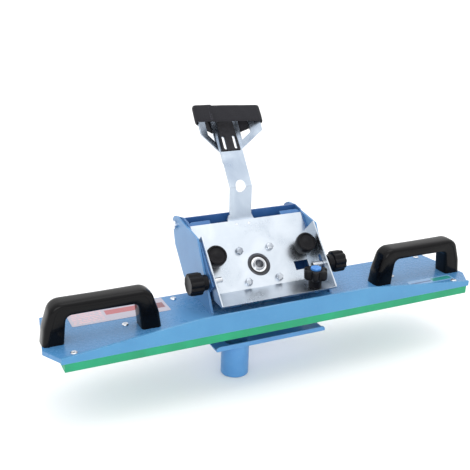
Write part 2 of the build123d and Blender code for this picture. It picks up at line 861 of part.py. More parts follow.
# ---- clamp knobs on the tray: plain round knobs with a sunk end ---------------------------------------
def clamp_plane(x, above):
    origin = ramp_plane(above).from_local_coords(Vector(x, clamp_knob_up_ramp, 0))
    return Plane(origin=origin, x_dir=(1, 0, 0), z_dir=(0, -slope_sin, slope_cos))


def clamp_knob(x):
    with BuildPart() as knob:
        with BuildSketch(clamp_plane(x, face_gap)):
            Circle(clamp_knob_radius - 3)
        with BuildSketch(clamp_plane(x, clamp_knob_height * 0.55)):
            Circle(clamp_knob_radius)
        loft()
        with BuildSketch(clamp_plane(x, clamp_knob_height * 0.55)):
            Circle(clamp_knob_radius)
        extrude(amount=clamp_knob_height * 0.45)
        fillet(knob.edges().filter_by(GeomType.CIRCLE).sort_by(Axis.Z)[-1], 1.5)
        with BuildSketch(clamp_plane(x, clamp_knob_height)):
            Circle(clamp_knob_radius - 3.5)
        extrude(amount=-2, mode=Mode.SUBTRACT)
        with BuildSketch(clamp_plane(x, face_gap)):
            Circle(stud_radius + thread_gap)
        extrude(amount=clamp_knob_height * 0.6, mode=Mode.SUBTRACT)
    return knob


def clamp_stud(x):
    stud_end = hood_back - nut_height - 2
    with BuildPart() as stud:
        with BuildSketch(clamp_plane(x, stud_end)):
            Circle(stud_radius)
        extrude(amount=clamp_knob_height * 0.6 - stud_end)
        chamfer(stud.edges().filter_by(GeomType.CIRCLE), 0.5)
    return stud


for name, x in (("left", -clamp_knob_x), ("right", clamp_knob_x)):
    save(clamp_knob(x), f"{name}_tray_knob")
    save(clamp_stud(x), f"{name}_tray_knob_stud")


# ---- side knobs: fluted heads outside the side plates, studs through plate, cheek and tray ------------
def side_knob_plane(x):
    return Plane(origin=(x, side_knob_y, side_knob_z), x_dir=(0, 1, 0), z_dir=(1, 0, 0))


def side_knob(side):
    neck_start = side * (side_outer + face_gap)
    head_start = side * (side_outer + side_knob_neck)
    with BuildPart() as knob:
        with BuildSketch(side_knob_plane(neck_start)):
            Circle(side_knob_neck_radius)
        extrude(amount=side * (side_knob_neck - face_gap))
        with BuildSketch(side_knob_plane(head_start)):
            Circle(side_knob_radius)
            with PolarLocations(side_knob_radius + 2.2, 10):
                Circle(3.4, mode=Mode.SUBTRACT)
        extrude(amount=side * side_knob_head)
        outer_face = knob.faces().sort_by(Axis.X)[-1 if side > 0 else 0]
        chamfer(outer_face.edges(), 1)
        with BuildSketch(side_knob_plane(neck_start)):
            Circle(stud_radius + thread_gap)
        extrude(amount=side * (side_knob_neck + 8), mode=Mode.SUBTRACT)
    return knob


side_stud_inside = 16.0


def side_stud(side):
    start = side * (side_outer + side_knob_neck + 7)
    with BuildPart() as stud:
        with BuildSketch(side_knob_plane(start)):
            Circle(stud_radius)
        extrude(amount=-side * (side_outer + side_knob_neck + 7 - tray_inner + side_stud_inside))
        chamfer(stud.edges().filter_by(GeomType.CIRCLE), 0.5)
    return stud


for name, side in (("left", -1), ("right", 1)):
    save(side_knob(side), f"{name}_side_knob")
    save(side_stud(side), f"{name}_side_knob_stud")


# ---- stop screw: lobed knob standing on the tray's bottom flange --------------------------------------
def stop_plane(z):
    return Plane(origin=(stop_knob_x, stop_knob_y, z))


stop_base = fold_z + sliding_gap
stop_head = stop_base + stop_knob_neck
stop_top = stop_head + stop_knob_head
lobe_count = 6
with BuildPart() as stop_knob:
    with BuildSketch(stop_plane(stop_base)):
        Circle(stop_knob_neck_radius)
    extrude(amount=stop_knob_neck)
    with BuildSketch(stop_plane(stop_head)):
        Circle(stop_knob_radius - 3)
        with PolarLocations(stop_knob_radius - 5.5, lobe_count):
            Circle(5.5)
    extrude(amount=stop_knob_head)
    fillet(stop_knob.faces().sort_by(Axis.Z)[-1].edges(), 2)
    with BuildSketch(stop_plane(stop_top)):
        Circle(stop_cap_radius + thread_gap)
    extrude(amount=-2, mode=Mode.SUBTRACT)
    with BuildSketch(stop_plane(stop_base)):
        Circle(stud_radius + thread_gap)
    extrude(amount=stop_knob_neck + 6, mode=Mode.SUBTRACT)
save(stop_knob, "stop_knob")

with BuildPart() as stop_knob_cap:
    with BuildSketch(stop_plane(stop_top - 2)):
        Circle(stop_cap_radius)
    extrude(amount=stop_cap_height + 2)
    fillet(stop_knob_cap.edges().group_by(Axis.Z)[-1], 1.2)
save(stop_knob_cap, "stop_knob_cap")

stop_nut_bottom = fold_z - tray_sheet - nut_height
with BuildPart() as stop_screw:
    with BuildSketch(stop_plane(stop_nut_bottom - 0.5)):
        Circle(stud_radius)
    extrude(amount=stop_head + 5 - stop_nut_bottom + 0.5)
    chamfer(stop_screw.edges().group_by(Axis.Z)[0], 0.4)
save(stop_screw, "stop_screw")

with BuildPart() as stop_nut:
    with BuildSketch(stop_plane(stop_nut_bottom)):
        RegularPolygon(nut_across / 2, 6, major_radius=False)
        Circle(stud_radius + running_gap, mode=Mode.SUBTRACT)
    extrude(amount=nut_height)
save(stop_nut, "stop_nut")

# ---- arm: bent zinc strip riveted behind the tray's top edge ------------------------------------------
lean_cos = math.cos(math.radians(upper_arm_angle))
lean_sin = math.sin(math.radians(upper_arm_angle))
arm_foot_low = ramp_point(ramp_length - arm_foot_length, -tray_sheet)
arm_foot_high = ramp_point(ramp_length + 4, -tray_sheet)
arm_bend = (arm_foot_high[0], arm_bend_z)
arm_tip = (
    arm_bend[0] + upper_arm_length * lean_cos,
    arm_bend[1] + upper_arm_length * lean_sin,
)
with BuildPart() as arm:
    with BuildSketch(side_plane(arm_x - arm_foot_width / 2)):
        with BuildLine():
            FilletPolyline(arm_foot_low, arm_foot_high, arm_bend, arm_tip, radius=4)
            offset(amount=arm_sheet, side=Side.RIGHT)
        make_face()
    extrude(amount=arm_foot_width)
    with BuildSketch(Plane.XZ):
        with Locations((arm_x, (arm_tip[1] + arm_foot_low[1]) / 2)):
            Rectangle(arm_width, arm_tip[1] - arm_foot_low[1] + 20)
        with BuildLine():
            Polyline(
                (arm_x - arm_foot_width / 2, arm_foot_low[1] - 10),
                (arm_x + arm_foot_width / 2, arm_foot_low[1] - 10),
                (arm_x + arm_foot_width / 2, arm_foot_high[1] - 1),
                (arm_x + arm_width / 2, arm_foot_high[1] + 6),
                (arm_x - arm_width / 2, arm_foot_high[1] + 6),
                (arm_x - arm_foot_width / 2, arm_foot_high[1] - 1),
                close=True,
            )
        make_face()
    extrude(amount=-arm_tip[0] - 30, mode=Mode.INTERSECT)
    with BuildSketch(Plane.XZ):
        with Locations((arm_x, arm_bend_z)):
            Circle(arm_hole_radius)
    extrude(amount=-arm_tip[0] - 30, mode=Mode.SUBTRACT)
    with BuildSketch(ramp_plane(-tray_sheet - arm_sheet - 1)):
        with Locations(*arm_rivet_spots):
            Circle(2 + thread_gap)
    extrude(amount=arm_sheet + 2, mode=Mode.SUBTRACT)
save(arm, "arm")

with BuildPart() as arm_rivets:
    with BuildSketch(ramp_plane(0)):
        with Locations(*arm_rivet_spots):
            Circle(2)
    extrude(amount=-tray_sheet - arm_sheet)
    with BuildSketch(ramp_plane(-tray_sheet - arm_sheet)):
        with Locations(*arm_rivet_spots):
            Circle(3.5)
    extrude(amount=-1.5)
save(arm_rivets, "arm_rivets")


# ---- yoke: folded cradle lapped behind the arm's upper end --------------------------------------------
def yoke_plane(in_front=0.0):
    """The upper arm's front face: local x is +X, local y runs up the arm, measured from its bend."""
    origin = (
        arm_x,
        arm_bend[0] - in_front * lean_sin,
        arm_bend[1] + in_front * lean_cos,
    )
    return Plane(origin=origin, x_dir=(1, 0, 0), z_dir=(0, -lean_sin, lean_cos))


def across_plane(up):
    """A plane across the upper arm: local x is +X, local y is the arm's front side."""
    middle = yoke_plane().from_local_coords(Vector(0, up, 0))
    return Plane(origin=middle, x_dir=(1, 0, 0), z_dir=(0, -lean_cos, -lean_sin))


wing_cos = math.cos(math.radians(yoke_wing_angle))
wing_sin = math.sin(math.radians(yoke_wing_angle))
yoke_bend_radius = 5.0
yoke_half = arm_width / 2
wing_fold = yoke_half + yoke_bend_radius * math.tan(math.radians(yoke_wing_angle / 2)) + 0.2
yoke_face = -arm_sheet
yoke_tip = (wing_fold + yoke_wing_length * wing_cos, yoke_face + yoke_wing_length * wing_sin)
yoke_low = upper_arm_length - yoke_lap
strap_slot_length = 22.0
strap_slot_x = 8.5
strap_slot_up = upper_arm_length + 14.0
window_near = yoke_half + yoke_window_inset
window_far = window_near + yoke_window_width
window_low = yoke_wing_start + 2 - yoke_window_rise
window_high = yoke_top - yoke_window_margin
yoke_window = [
    (window_near, window_low),
    (window_far, window_low + yoke_window_rise),
    (window_far, window_high),
    (window_near, window_high),
]
with BuildPart() as yoke:
    with BuildSketch(across_plane(yoke_top)):
        with BuildLine():
            FilletPolyline(
                (-yoke_tip[0], yoke_tip[1]),
                (-wing_fold, yoke_face),
                (wing_fold, yoke_face),
                (yoke_tip[0], yoke_tip[1]),
                radius=yoke_bend_radius,
            )
            offset(amount=yoke_sheet, side=Side.RIGHT)
        make_face()
    extrude(amount=yoke_top - yoke_low)
    with BuildSketch(yoke_plane(-20)):
        with BuildLine():
            FilletPolyline(
                (-yoke_half, yoke_low),
                (-yoke_half, upper_arm_length + 2),
                (-yoke_tip[0] - 2, yoke_wing_start),
                (-yoke_tip[0] - 2, yoke_top),
                (yoke_tip[0] + 2, yoke_top),
                (yoke_tip[0] + 2, yoke_wing_start),
                (yoke_half, upper_arm_length + 2),
                (yoke_half, yoke_low),
                radius=(7, 7, 7, 7, 7, 7),
            )
            Line((yoke_half, yoke_low), (-yoke_half, yoke_low))
        make_face()
        for side in (-1, 1):
            with BuildLine():
                Polyline(*[(side * x, up) for x, up in yoke_window], close=True)
            make_face(mode=Mode.SUBTRACT)
        with Locations((-strap_slot_x, strap_slot_up), (strap_slot_x, strap_slot_up)):
            SlotOverall(strap_slot_length, 5.5, rotation=90, mode=Mode.SUBTRACT)
    extrude(amount=60, mode=Mode.INTERSECT)
save(yoke, "yoke")

# ---- yoke lining: black pad on the cradle's middle ----------------------------------------------------
with BuildPart() as yoke_lining:
    with BuildSketch(yoke_plane(yoke_face)):
        with BuildLine():
            Polyline(
                (-yoke_half + 3, upper_arm_length + 1),
                (-11.5, yoke_top - 1),
                (11.5, yoke_top - 1),
                (yoke_half - 3, upper_arm_length + 1),
                close=True,
            )
        make_face()
        with Locations((-strap_slot_x, strap_slot_up), (strap_slot_x, strap_slot_up)):
            SlotOverall(strap_slot_length, 5.5, rotation=90, mode=Mode.SUBTRACT)
    extrude(amount=lining_thickness)
save(yoke_lining, "yoke_lining")

# ---- strap: hook-and-loop band closed round the cradle's wings ----------------------------------------
strap_away = yoke_sheet + 0.5
strap_back = yoke_face - strap_away
strap_back_x = wing_fold + strap_away * math.tan(math.radians(yoke_wing_angle / 2))
strap_side = yoke_tip[0] + 0.5 * wing_cos + strap_away * wing_sin
strap_bend = yoke_tip[1] + 0.5 * wing_sin - strap_away * wing_cos
strap_front = yoke_tip[1] + 0.8
strap_outline = [
    (-strap_side, strap_front),
    (-strap_side, strap_bend),
    (-strap_back_x, strap_back),
    (strap_back_x, strap_back),
    (strap_side, strap_bend),
    (strap_side, strap_front),
]
with BuildPart() as strap:
    with BuildSketch(across_plane(yoke_top + 3)):
        with BuildLine():
            Polyline(*strap_outline, close=True)
            offset(amount=strap_thickness)
        make_face()
        with BuildLine():
            Polyline(*strap_outline, close=True)
        make_face(mode=Mode.SUBTRACT)
    extrude(amount=strap_height)
save(strap, "strap")
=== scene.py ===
import math

import bmesh
import bpy
from mathutils import Matrix, Vector


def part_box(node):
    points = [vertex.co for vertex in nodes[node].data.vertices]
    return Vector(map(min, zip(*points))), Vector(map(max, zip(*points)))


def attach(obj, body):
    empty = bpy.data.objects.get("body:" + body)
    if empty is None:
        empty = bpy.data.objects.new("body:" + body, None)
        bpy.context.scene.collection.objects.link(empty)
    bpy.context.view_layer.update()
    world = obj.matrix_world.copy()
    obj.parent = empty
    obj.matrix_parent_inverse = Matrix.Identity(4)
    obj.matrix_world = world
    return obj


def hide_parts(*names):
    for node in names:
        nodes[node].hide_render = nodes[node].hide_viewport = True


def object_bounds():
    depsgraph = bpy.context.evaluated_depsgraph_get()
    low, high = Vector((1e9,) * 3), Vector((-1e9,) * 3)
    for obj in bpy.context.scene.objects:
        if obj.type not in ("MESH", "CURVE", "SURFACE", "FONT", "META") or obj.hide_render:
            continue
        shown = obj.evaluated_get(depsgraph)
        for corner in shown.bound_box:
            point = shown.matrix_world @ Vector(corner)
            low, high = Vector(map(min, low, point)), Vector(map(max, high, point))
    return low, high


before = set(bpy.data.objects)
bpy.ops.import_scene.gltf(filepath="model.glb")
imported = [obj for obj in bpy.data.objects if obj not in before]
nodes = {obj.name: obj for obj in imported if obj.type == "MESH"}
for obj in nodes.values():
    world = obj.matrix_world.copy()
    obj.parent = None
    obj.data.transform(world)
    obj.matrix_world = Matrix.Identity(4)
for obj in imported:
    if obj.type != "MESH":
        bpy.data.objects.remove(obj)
cad_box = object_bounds()
mm = 0.001

# ---- Deck -------------------------------------------------------------------------------------
# One plate of 6 mm steel, laser cut, nicked at its front corners and tapered at its ends.
# It is blasted and powder coated light blue, and every other piece is fixed to it.


class Value:
    """One output inside a finish, with the arithmetic that the finishes use."""

    def __init__(self, finish, socket):
        self.finish = finish
        self.socket = socket

    def maths(self, operation, first, second):
        return self.finish.node("Math", {"operation": operation}, {0: first, 1: second})

    def __add__(self, other):
        return self.maths("ADD", self, other)

    def __sub__(self, other):
        return self.maths("SUBTRACT", self, other)

    def __rsub__(self, other):
        return self.maths("SUBTRACT", other, self)

    def __mul__(self, other):
        return self.maths("MULTIPLY", self, other)

    def __gt__(self, other):
        return self.maths("GREATER_THAN", self, other)

    def __lt__(self, other):
        return self.maths("LESS_THAN", self, other)

    __radd__ = __add__
    __rmul__ = __mul__

    def between(self, low, high):
        """0 at low and 1 at high, and no further."""
        inputs = {"Value": self, "From Min": low, "From Max": high}
        return self.finish.node("MapRange", {"clamp": True}, inputs)


class Finish:
    """A material whose patterns lie in the frame's own coordinates, in metres."""

    def __init__(self, name):
        self.material = bpy.data.materials.new(name)
        self.material.use_nodes = True
        self.tree = self.material.node_tree
        self.shader = self.tree.nodes["Principled BSDF"]
        self.where = self.node("TexCoord", {}, {}, "Object")

    def node(self, kind, settings, inputs, output=0):
        made = self.tree.nodes.new("ShaderNode" + kind)
        for name, value in settings.items():
            if name == "stops":
                for stop, (position, grey) in zip(made.color_ramp.elements, value):
                    stop.position = position
                    stop.color = (grey, grey, grey, 1)
            else:
                setattr(made, name, value)
        for name, value in inputs.items():
            if isinstance(value, Value):
                self.tree.links.new(value.socket, made.inputs[name])
            else:
                made.inputs[name].default_value = value
        return Value(self, made.outputs[output])

    def at(self, size, spot=(0, 0, 0), turn=(0, 0, 0), where=None):
        """Coordinates centred on spot, turned, and counted in steps of size."""
        return self.node(
            "Mapping",
            {"vector_type": "TEXTURE"},
            {"Vector": where or self.where, "Location": spot, "Rotation": turn, "Scale": size},
        )

    def noise(self, size, detail=2.0, rough=0.5, warp=0.0, turn=(0, 0, 0), where=None):
        sizes = size if isinstance(size, tuple) else (size, size, size)
        place = self.at(sizes, turn=turn, where=where)
        return self.node(
            "TexNoise",
            {"noise_dimensions": "3D"},
            {"Vector": place, "Scale": 1.0, "Detail": detail, "Roughness": rough, "Distortion": warp},
        )

    def axes(self, where=None):
        """The three coordinates as numbers."""
        parted = self.node("SeparateXYZ", {}, {0: where or self.where})
        outputs = parted.socket.node.outputs
        return [Value(self, outputs[i]) for i in range(3)]

    def mix(self, share, first, second, blend="MIX"):
        return self.node(
            "Mix",
            {"data_type": "RGBA", "blend_type": blend, "clamp_factor": True},
            {0: share, 6: first, 7: second},
            2,
        )

    def rounded(self, radius):
        """The surface's direction with its sharp corners eased."""
        return self.node("Bevel", {"samples": 4}, {"Radius": radius})

    def corners(self, eased):
        """1 on a corner and 0 on a flat."""
        flat = self.node("NewGeometry", {}, {}, "Normal")
        dot = self.node("VectorMath", {"operation": "DOT_PRODUCT"}, {0: eased, 1: flat}, "Value")
        return (1 - dot).between(0.02, 0.22)

    def relief(self, height, depth, under=None):
        inputs = {"Height": height, "Distance": depth, "Strength": 1.0}
        if under is not None:
            inputs["Normal"] = under
        return self.node("Bump", {}, inputs)

    def surface(self, colour, roughness, normal=None, **plain):
        for name, value in (("Base Color", colour), ("Roughness", roughness), ("Normal", normal)):
            if isinstance(value, Value):
                self.tree.links.new(value.socket, self.shader.inputs[name])
            elif value is not None:
                self.shader.inputs[name].default_value = value
        for name, value in plain.items():
            self.shader.inputs[name.replace("_", " ")].default_value = value
        return self.material


def tint(red, green, blue):
    """A paint-chart colour as the light values that a shader wants."""
    return tuple(((c / 255 + 0.055) / 1.055) ** 2.4 for c in (red, green, blue)) + (1.0,)


def dress(material, *names):
    for name in names:
        if not nodes[name].material_slots:
            nodes[name].data.materials.append(None)
        for place in nodes[name].material_slots:
            place.material = material


def powder_coat(name, light, deep, gloss):
    coat = Finish(name)
    drift = coat.noise(70 * mm, detail=3.0, rough=0.55)
    peel = coat.noise(1.1 * mm, detail=2.0)
    dust = coat.noise(5 * mm, detail=6.0, rough=0.7)
    grit = coat.noise(0.5 * mm, detail=1.0)
    eased = coat.rounded(0.7 * mm)
    corner = coat.corners(eased)
    colour = coat.mix(drift.between(0.3, 0.7), deep, light)
    colour = coat.mix(dust.between(0.55, 0.85) * 0.07, colour, tint(205, 215, 222))
    # Pale blue on the corners where the dust noise is high: partly edge wear, partly a painted highlight
    # along the edges.
    colour = coat.mix(corner * dust.between(0.35, 0.6) * 0.45, colour, tint(205, 225, 240))
    roughness = gloss + drift * 0.06 + dust.between(0.5, 0.8) * 0.14
    normal = coat.relief(peel + grit * 0.2, 0.012 * mm, eased)
    return coat.surface(colour, roughness, normal, Specular_IOR_Level=0.5)


deck_paint = powder_coat("deck_paint", tint(76, 132, 180), tint(68, 122, 170), 0.24)
dress(deck_paint, "base_deck")

# ---- Front rail ---------------------------------------------------------------------------------
# A strip of 3 mm steel standing on the deck's front edge, high in the middle and falling to the ends.
# It is welded on and coated with the deck, and as the stop for the tile's edge it is kept clean.
rail_paint = powder_coat("rail_paint", tint(70, 136, 180), tint(62, 126, 172), 0.3)
dress(rail_paint, "front_rail")

# ---- Soles --------------------------------------------------------------------------------------
# Green low-friction plastic strips under the deck, sawn from sheet, with long fine scuffs from sliding.
# Four screws hold the front one, and two rear strips and two small pads carry the back.
sole_plastic = Finish("sole_plastic")
sawn = sole_plastic.noise((30 * mm, 0.5 * mm, 0.35 * mm), detail=3.0)
scuffed = sole_plastic.noise((90 * mm, 2 * mm, 1.2 * mm), detail=4.0, rough=0.6)
mottle = sole_plastic.noise(40 * mm, detail=2.0)
sole_eased = sole_plastic.rounded(0.8 * mm)
sole_colour = sole_plastic.mix(mottle.between(0.3, 0.7), tint(0, 134, 92), tint(2, 148, 104))
sole_colour = sole_plastic.mix(scuffed.between(0.6, 0.85) * 0.22, sole_colour, tint(34, 170, 130))
# Paler green on every corner: a painted highlight along the edges.
sole_colour = sole_plastic.mix(
    sole_plastic.corners(sole_eased) * 0.3, sole_colour, tint(80, 195, 150)
)
sole_green = sole_plastic.surface(
    sole_colour, 0.42 + scuffed * 0.2, sole_plastic.relief(sawn, 0.05 * mm, sole_eased)
)
dress(sole_green, "front_sole", "rear_sole_left", "rear_sole_right", "middle_sole_pads")

# ---- Deck screws ----------------------------------------------------------------------------------
# Zinc-plated pan-head screws with a cross recess, run down through the deck into the soles and trough.
# One head shape is placed on every spot, each turned to where its driver happened to stop.


def brushed_metal(name, light, dark, roughness, grain, depth):
    """Plated or machined steel: cloudy plating and fine lines along its grain, with its corners eased in
    shading.
    """
    metal = Finish(name)
    cloud = metal.noise(22 * mm, detail=5.0, rough=0.6, warp=0.8)
    line = metal.noise(grain, detail=4.0, rough=0.6)
    smear = metal.noise(9 * mm, detail=4.0, rough=0.65)
    eased = metal.rounded(0.4 * mm)
    colour = metal.mix(cloud.between(0.3, 0.72), dark, light)
    colour = metal.mix(line.between(0.55, 0.8) * 0.25, colour, light)
    rough = roughness + smear.between(0.35, 0.75) * 0.16 + line * 0.06
    normal = metal.relief(line, depth, eased)
    return metal.surface(colour, rough, normal, Metallic=1.0)


class Recipe:
    """A geometry node tree with named sizes, run on a set of spots to give one plain mesh."""

    kinds = {float: "NodeSocketFloat", int: "NodeSocketInt"}

    def __init__(self, name, **sizes):
        self.tree = bpy.data.node_groups.new(name, "GeometryNodeTree")
        self.sizes = sizes
        sockets = self.tree.interface
        sockets.new_socket("Geometry", in_out="INPUT", socket_type="NodeSocketGeometry")
        self.keys = {}
        for size, value in sizes.items():
            kind = self.kinds.get(type(value))
            if kind is None:
                kind = "NodeSocketMaterial" if isinstance(value, bpy.types.Material) else "NodeSocketObject"
            self.keys[size] = sockets.new_socket(size, in_out="INPUT", socket_type=kind).identifier
        sockets.new_socket("Geometry", in_out="OUTPUT", socket_type="NodeSocketGeometry")
        self.start = self.tree.nodes.new("NodeGroupInput").outputs
        self.end = self.tree.nodes.new("NodeGroupOutput").inputs

    def node(self, kind, settings, inputs, output=0):
        made = self.tree.nodes.new(kind)
        for name, value in settings.items():
            setattr(made, name, value)
        for name, value in inputs.items():
            if isinstance(value, bpy.types.NodeSocket):
                self.tree.links.new(value, made.inputs[name])
            else:
                made.inputs[name].default_value = value
        return made.outputs[output]

    def finish_with(self, geometry):
        whole = self.node("GeometryNodeRealizeInstances", {}, {0: geometry})
        coated = self.node(
            "GeometryNodeSetMaterial", {}, {"Geometry": whole, "Material": self.start["Material"]}
        )
        self.tree.links.new(coated, self.end[0])

    def run(self, name, spots, place=None):
        mesh = bpy.data.meshes.new(name + "_spots")
        mesh.from_pydata([tuple(spot) for spot in spots], [], [])
        holder = bpy.data.objects.new(name + "_holder", mesh)
        bpy.context.scene.collection.objects.link(holder)
        modifier = holder.modifiers.new("recipe", "NODES")
        modifier.node_group = self.tree
        for size, value in self.sizes.items():
            modifier[self.keys[size]] = value
        holder.update_tag()
        depsgraph = bpy.context.evaluated_depsgraph_get()
        made = bpy.data.meshes.new_from_object(holder.evaluated_get(depsgraph))
        bpy.data.objects.remove(holder)
        if place is not None:
            made.transform(place)
        return put(name, made, self.sizes["Material"])


def put(name, mesh, material):
    """The mesh as an object of the scene, with one material and smooth faces between its corners."""
    mesh.name = name
    mesh.materials.clear()
    mesh.materials.append(material)
    mesh.polygons.foreach_set("material_index", [0] * len(mesh.polygons))
    mesh.polygons.foreach_set("use_smooth", [True] * len(mesh.polygons))
    mesh.set_sharp_from_angle(angle=math.radians(32))
    piece = bpy.data.objects.new(name, mesh)
    bpy.context.scene.collection.objects.link(piece)
    return piece


def close_up(bm, name):
    """A finished bmesh as a mesh, doubles merged and faces turned outwards."""
    bmesh.ops.remove_doubles(bm, verts=bm.verts, dist=0.002 * mm)
    bmesh.ops.recalc_face_normals(bm, faces=bm.faces)
    mesh = bpy.data.meshes.new(name)
    bm.to_mesh(mesh)
    bm.free()
    return mesh


def loop_of(bm, points):
    return [bm.verts.new(point) for point in points]


def skin(bm, lower, upper):
    count = len(lower)
    for i in range(count):
        after = (i + 1) % count
        bm.faces.new((lower[i], lower[after], upper[after], upper[i]))


def circle(radius, height, count, start=0.0):
    turns = [start + 2 * math.pi * i / count for i in range(count)]
    return [(radius * math.cos(a), radius * math.sin(a), height) for a in turns]


def cross_screw():
    """A pan head with a cross recess, 9 mm across, standing on z = 0."""
    bm = bmesh.new()
    profile = [(4.5, 0.0), (4.5, 0.75), (4.2, 1.4), (3.6, 1.85), (3.0, 2.0)]
    rings = [loop_of(bm, circle(r * mm, z * mm, 28)) for r, z in profile]
    for lower, upper in zip(rings, rings[1:]):
        skin(bm, lower, upper)
    bm.faces.new(rings[0])
    long, slim, deep = 2.3 * mm, 0.5 * mm, 0.9 * mm
    quarter = [(slim, slim), (long, slim), (long, -slim), (slim, -slim)]
    cross = []
    for turn in range(4):
        c, s = round(math.cos(-turn * math.pi / 2)), round(math.sin(-turn * math.pi / 2))
        cross += [(c * x - s * y, s * x + c * y) for x, y in quarter[:3]]
    rim = loop_of(bm, [(x, y, 2.0 * mm) for x, y in cross])
    bed = loop_of(bm, [(0.8 * x, 0.8 * y, 2.0 * mm - deep) for x, y in cross])
    skin(bm, rim, bed)
    bm.faces.new(bed)
    edges = [bm.edges.get((ring[i], ring[i - 1])) or bm.edges.new((ring[i], ring[i - 1]))
             for ring in (rings[-1], rim) for i in range(len(ring))]
    bmesh.ops.triangle_fill(bm, edges=edges, use_beauty=True)
    return close_up(bm, "cross_screw")


def on_spots(tree_name, template, material, seed, turned):
    """A recipe that stands one fastener on every spot, each given its own turn."""
    recipe = Recipe(tree_name, Fastener=template, Material=material, Seed=seed, Turn=turned)
    fastener = recipe.node(
        "GeometryNodeObjectInfo",
        {"transform_space": "ORIGINAL"},
        {"Object": recipe.start["Fastener"]},
        "Geometry",
    )
    turn = recipe.node(
        "FunctionNodeRandomValue",
        {"data_type": "FLOAT"},
        {2: 0.0, 3: recipe.start["Turn"], "Seed": recipe.start["Seed"]},
        1,
    )
    rotation = recipe.node("ShaderNodeCombineXYZ", {}, {"Z": turn})
    placed = recipe.node(
        "GeometryNodeInstanceOnPoints",
        {},
        {"Points": recipe.start["Geometry"], "Instance": fastener, "Rotation": rotation},
    )
    recipe.finish_with(placed)
    return recipe


screw_zinc = brushed_metal(
    "screw_zinc", tint(236, 238, 242), tint(190, 196, 204), 0.16, (1 * mm, 1 * mm, 1 * mm), 0.01 * mm
)
screw_head = put("screw_head", cross_screw(), screw_zinc)
deck_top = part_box("base_deck")[1].z
screw_spots = [
    (-295, 13), (-150, 13), (150, 13), (295, 13),
    (-299, 112), (-127, 112), (127, 112), (299, 112), (-214, 62), (214, 62),
    (-77, 112), (67, 112),
]
heads = on_spots("screws_on_spots", screw_head, screw_zinc, 11, math.pi).run(
    "deck_screw_heads", [(x * mm, y * mm, deck_top) for x, y in screw_spots]
)
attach(heads, "base")
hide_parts("front_sole_screws", "deck_screws", "trough_screws")
bpy.data.objects.remove(screw_head)
dress(screw_zinc, "handle_bolts")

# ---- Handles --------------------------------------------------------------------------------------
# Two gloss black moulded grips, wide at the feet and slimmer along the top, bolted up through the deck.
# The mould leaves a crowned outer shell, a fine step below it, and flat sides.


def eased_path(points, radii, steps=8):
    """The points joined by straight runs, with each inner corner rounded to its radius."""
    path = [Vector(points[0])]
    for before, corner, after, radius in zip(points, points[1:], points[2:], radii):
        corner = Vector(corner)
        back = (Vector(before) - corner).normalized()
        on = (Vector(after) - corner).normalized()
        half = back.angle(on) / 2
        reach = radius / math.tan(half)
        middle = corner + (back + on).normalized() * (radius / math.sin(half))
        start, end = corner + back * reach - middle, corner + on * reach - middle
        turn = start.angle_signed(end)
        for i in range(steps + 1):
            a = -turn * i / steps
            c, s = math.cos(a), math.sin(a)
            path.append(middle + Vector((c * start.x - s * start.y, s * start.x + c * start.y)))
    path.append(Vector(points[-1]))
    return path


def even_stations(path, count):
    """count points spread evenly along a path."""
    runs = [(b - a).length for a, b in zip(path, path[1:])]
    whole = sum(runs)
    stations, passed, i = [], 0.0, 0
    for k in range(count):
        goal = whole * k / (count - 1)
        while i < len(runs) - 1 and passed + runs[i] < goal:
            passed += runs[i]
            i += 1
        share = (goal - passed) / runs[i] if runs[i] else 0.0
        stations.append(path[i].lerp(path[i + 1], min(max(share, 0.0), 1.0)))
    return stations


def handle_mesh(low, high):
    """A grip lofted from foot to foot between its outer and its inner outline."""
    half, foot, top = (high.x - low.x) / 2, low.z, high.z
    middle_x, middle_y = (high.x + low.x) / 2, (high.y + low.y) / 2
    inner, grip = half - 28 * mm, top - 18 * mm
    rise = 22 * mm
    outer_line = eased_path(
        [(-half, foot), (-half + 3 * mm, foot + rise), (-half + 14 * mm, top),
         (half - 14 * mm, top), (half - 3 * mm, foot + rise), (half, foot)],
        [20 * mm, 17 * mm, 17 * mm, 20 * mm],
    )
    inner_line = eased_path(
        [(-inner, foot), (-inner + 4 * mm, grip), (inner - 4 * mm, grip), (inner, foot)],
        [9 * mm, 9 * mm],
    )
    stations = 76
    shell = [
        (0.0, 0.0), (5.0, 0.12), (8.6, 0.5), (10.9, 1.25),
        (12.6, 2.6), (13.6, 4.4), (14.0, 6.6), (14.0, 8.4),
    ]
    side = [(13.45, 3.4), (13.1, 2.0), (12.0, 0.9), (10.2, 0.25), (7.0, 0.0), (0.0, 0.0)]
    bm = bmesh.new()
    rings = []
    for out, inn in zip(even_stations(outer_line, stations), even_stations(inner_line, stations)):
        across = (out - inn).normalized()
        places = [(v, out - across * (d * mm)) for v, d in shell]
        places.append((13.45, out - across * (8.9 * mm)))
        places += [(v, inn + across * (d * mm)) for v, d in side]
        places += [(-v, p) for v, p in reversed(places[1:-1])]
        rings.append(loop_of(bm, [(middle_x + p.x, middle_y + v * mm, p.y) for v, p in places]))
    for before, after in zip(rings, rings[1:]):
        skin(bm, before, after)
    bm.faces.new(rings[0])
    bm.faces.new(rings[-1])
    return close_up(bm, "handle")


moulded_gloss = Finish("moulded_gloss")
flow = moulded_gloss.noise((50 * mm, 9 * mm, 20 * mm), detail=3.0)
handled = moulded_gloss.noise(6 * mm, detail=5.0, rough=0.65)
fine_dust = moulded_gloss.noise(0.8 * mm, detail=2.0)
handle_black = moulded_gloss.surface(
    moulded_gloss.mix(handled.between(0.5, 0.85) * 0.2, tint(7, 7, 9), tint(24, 24, 28)),
    0.13 + flow * 0.06 + handled.between(0.45, 0.8) * 0.12,
    moulded_gloss.relief(flow + fine_dust * 0.02, 0.25 * mm),
    Specular_IOR_Level=0.15,
)
for side_name in ("left", "right"):
    node = side_name + "_handle"
    grip_piece = put(side_name + "_grip", handle_mesh(*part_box(node)), handle_black)
    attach(grip_piece, "base")
    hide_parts(node)

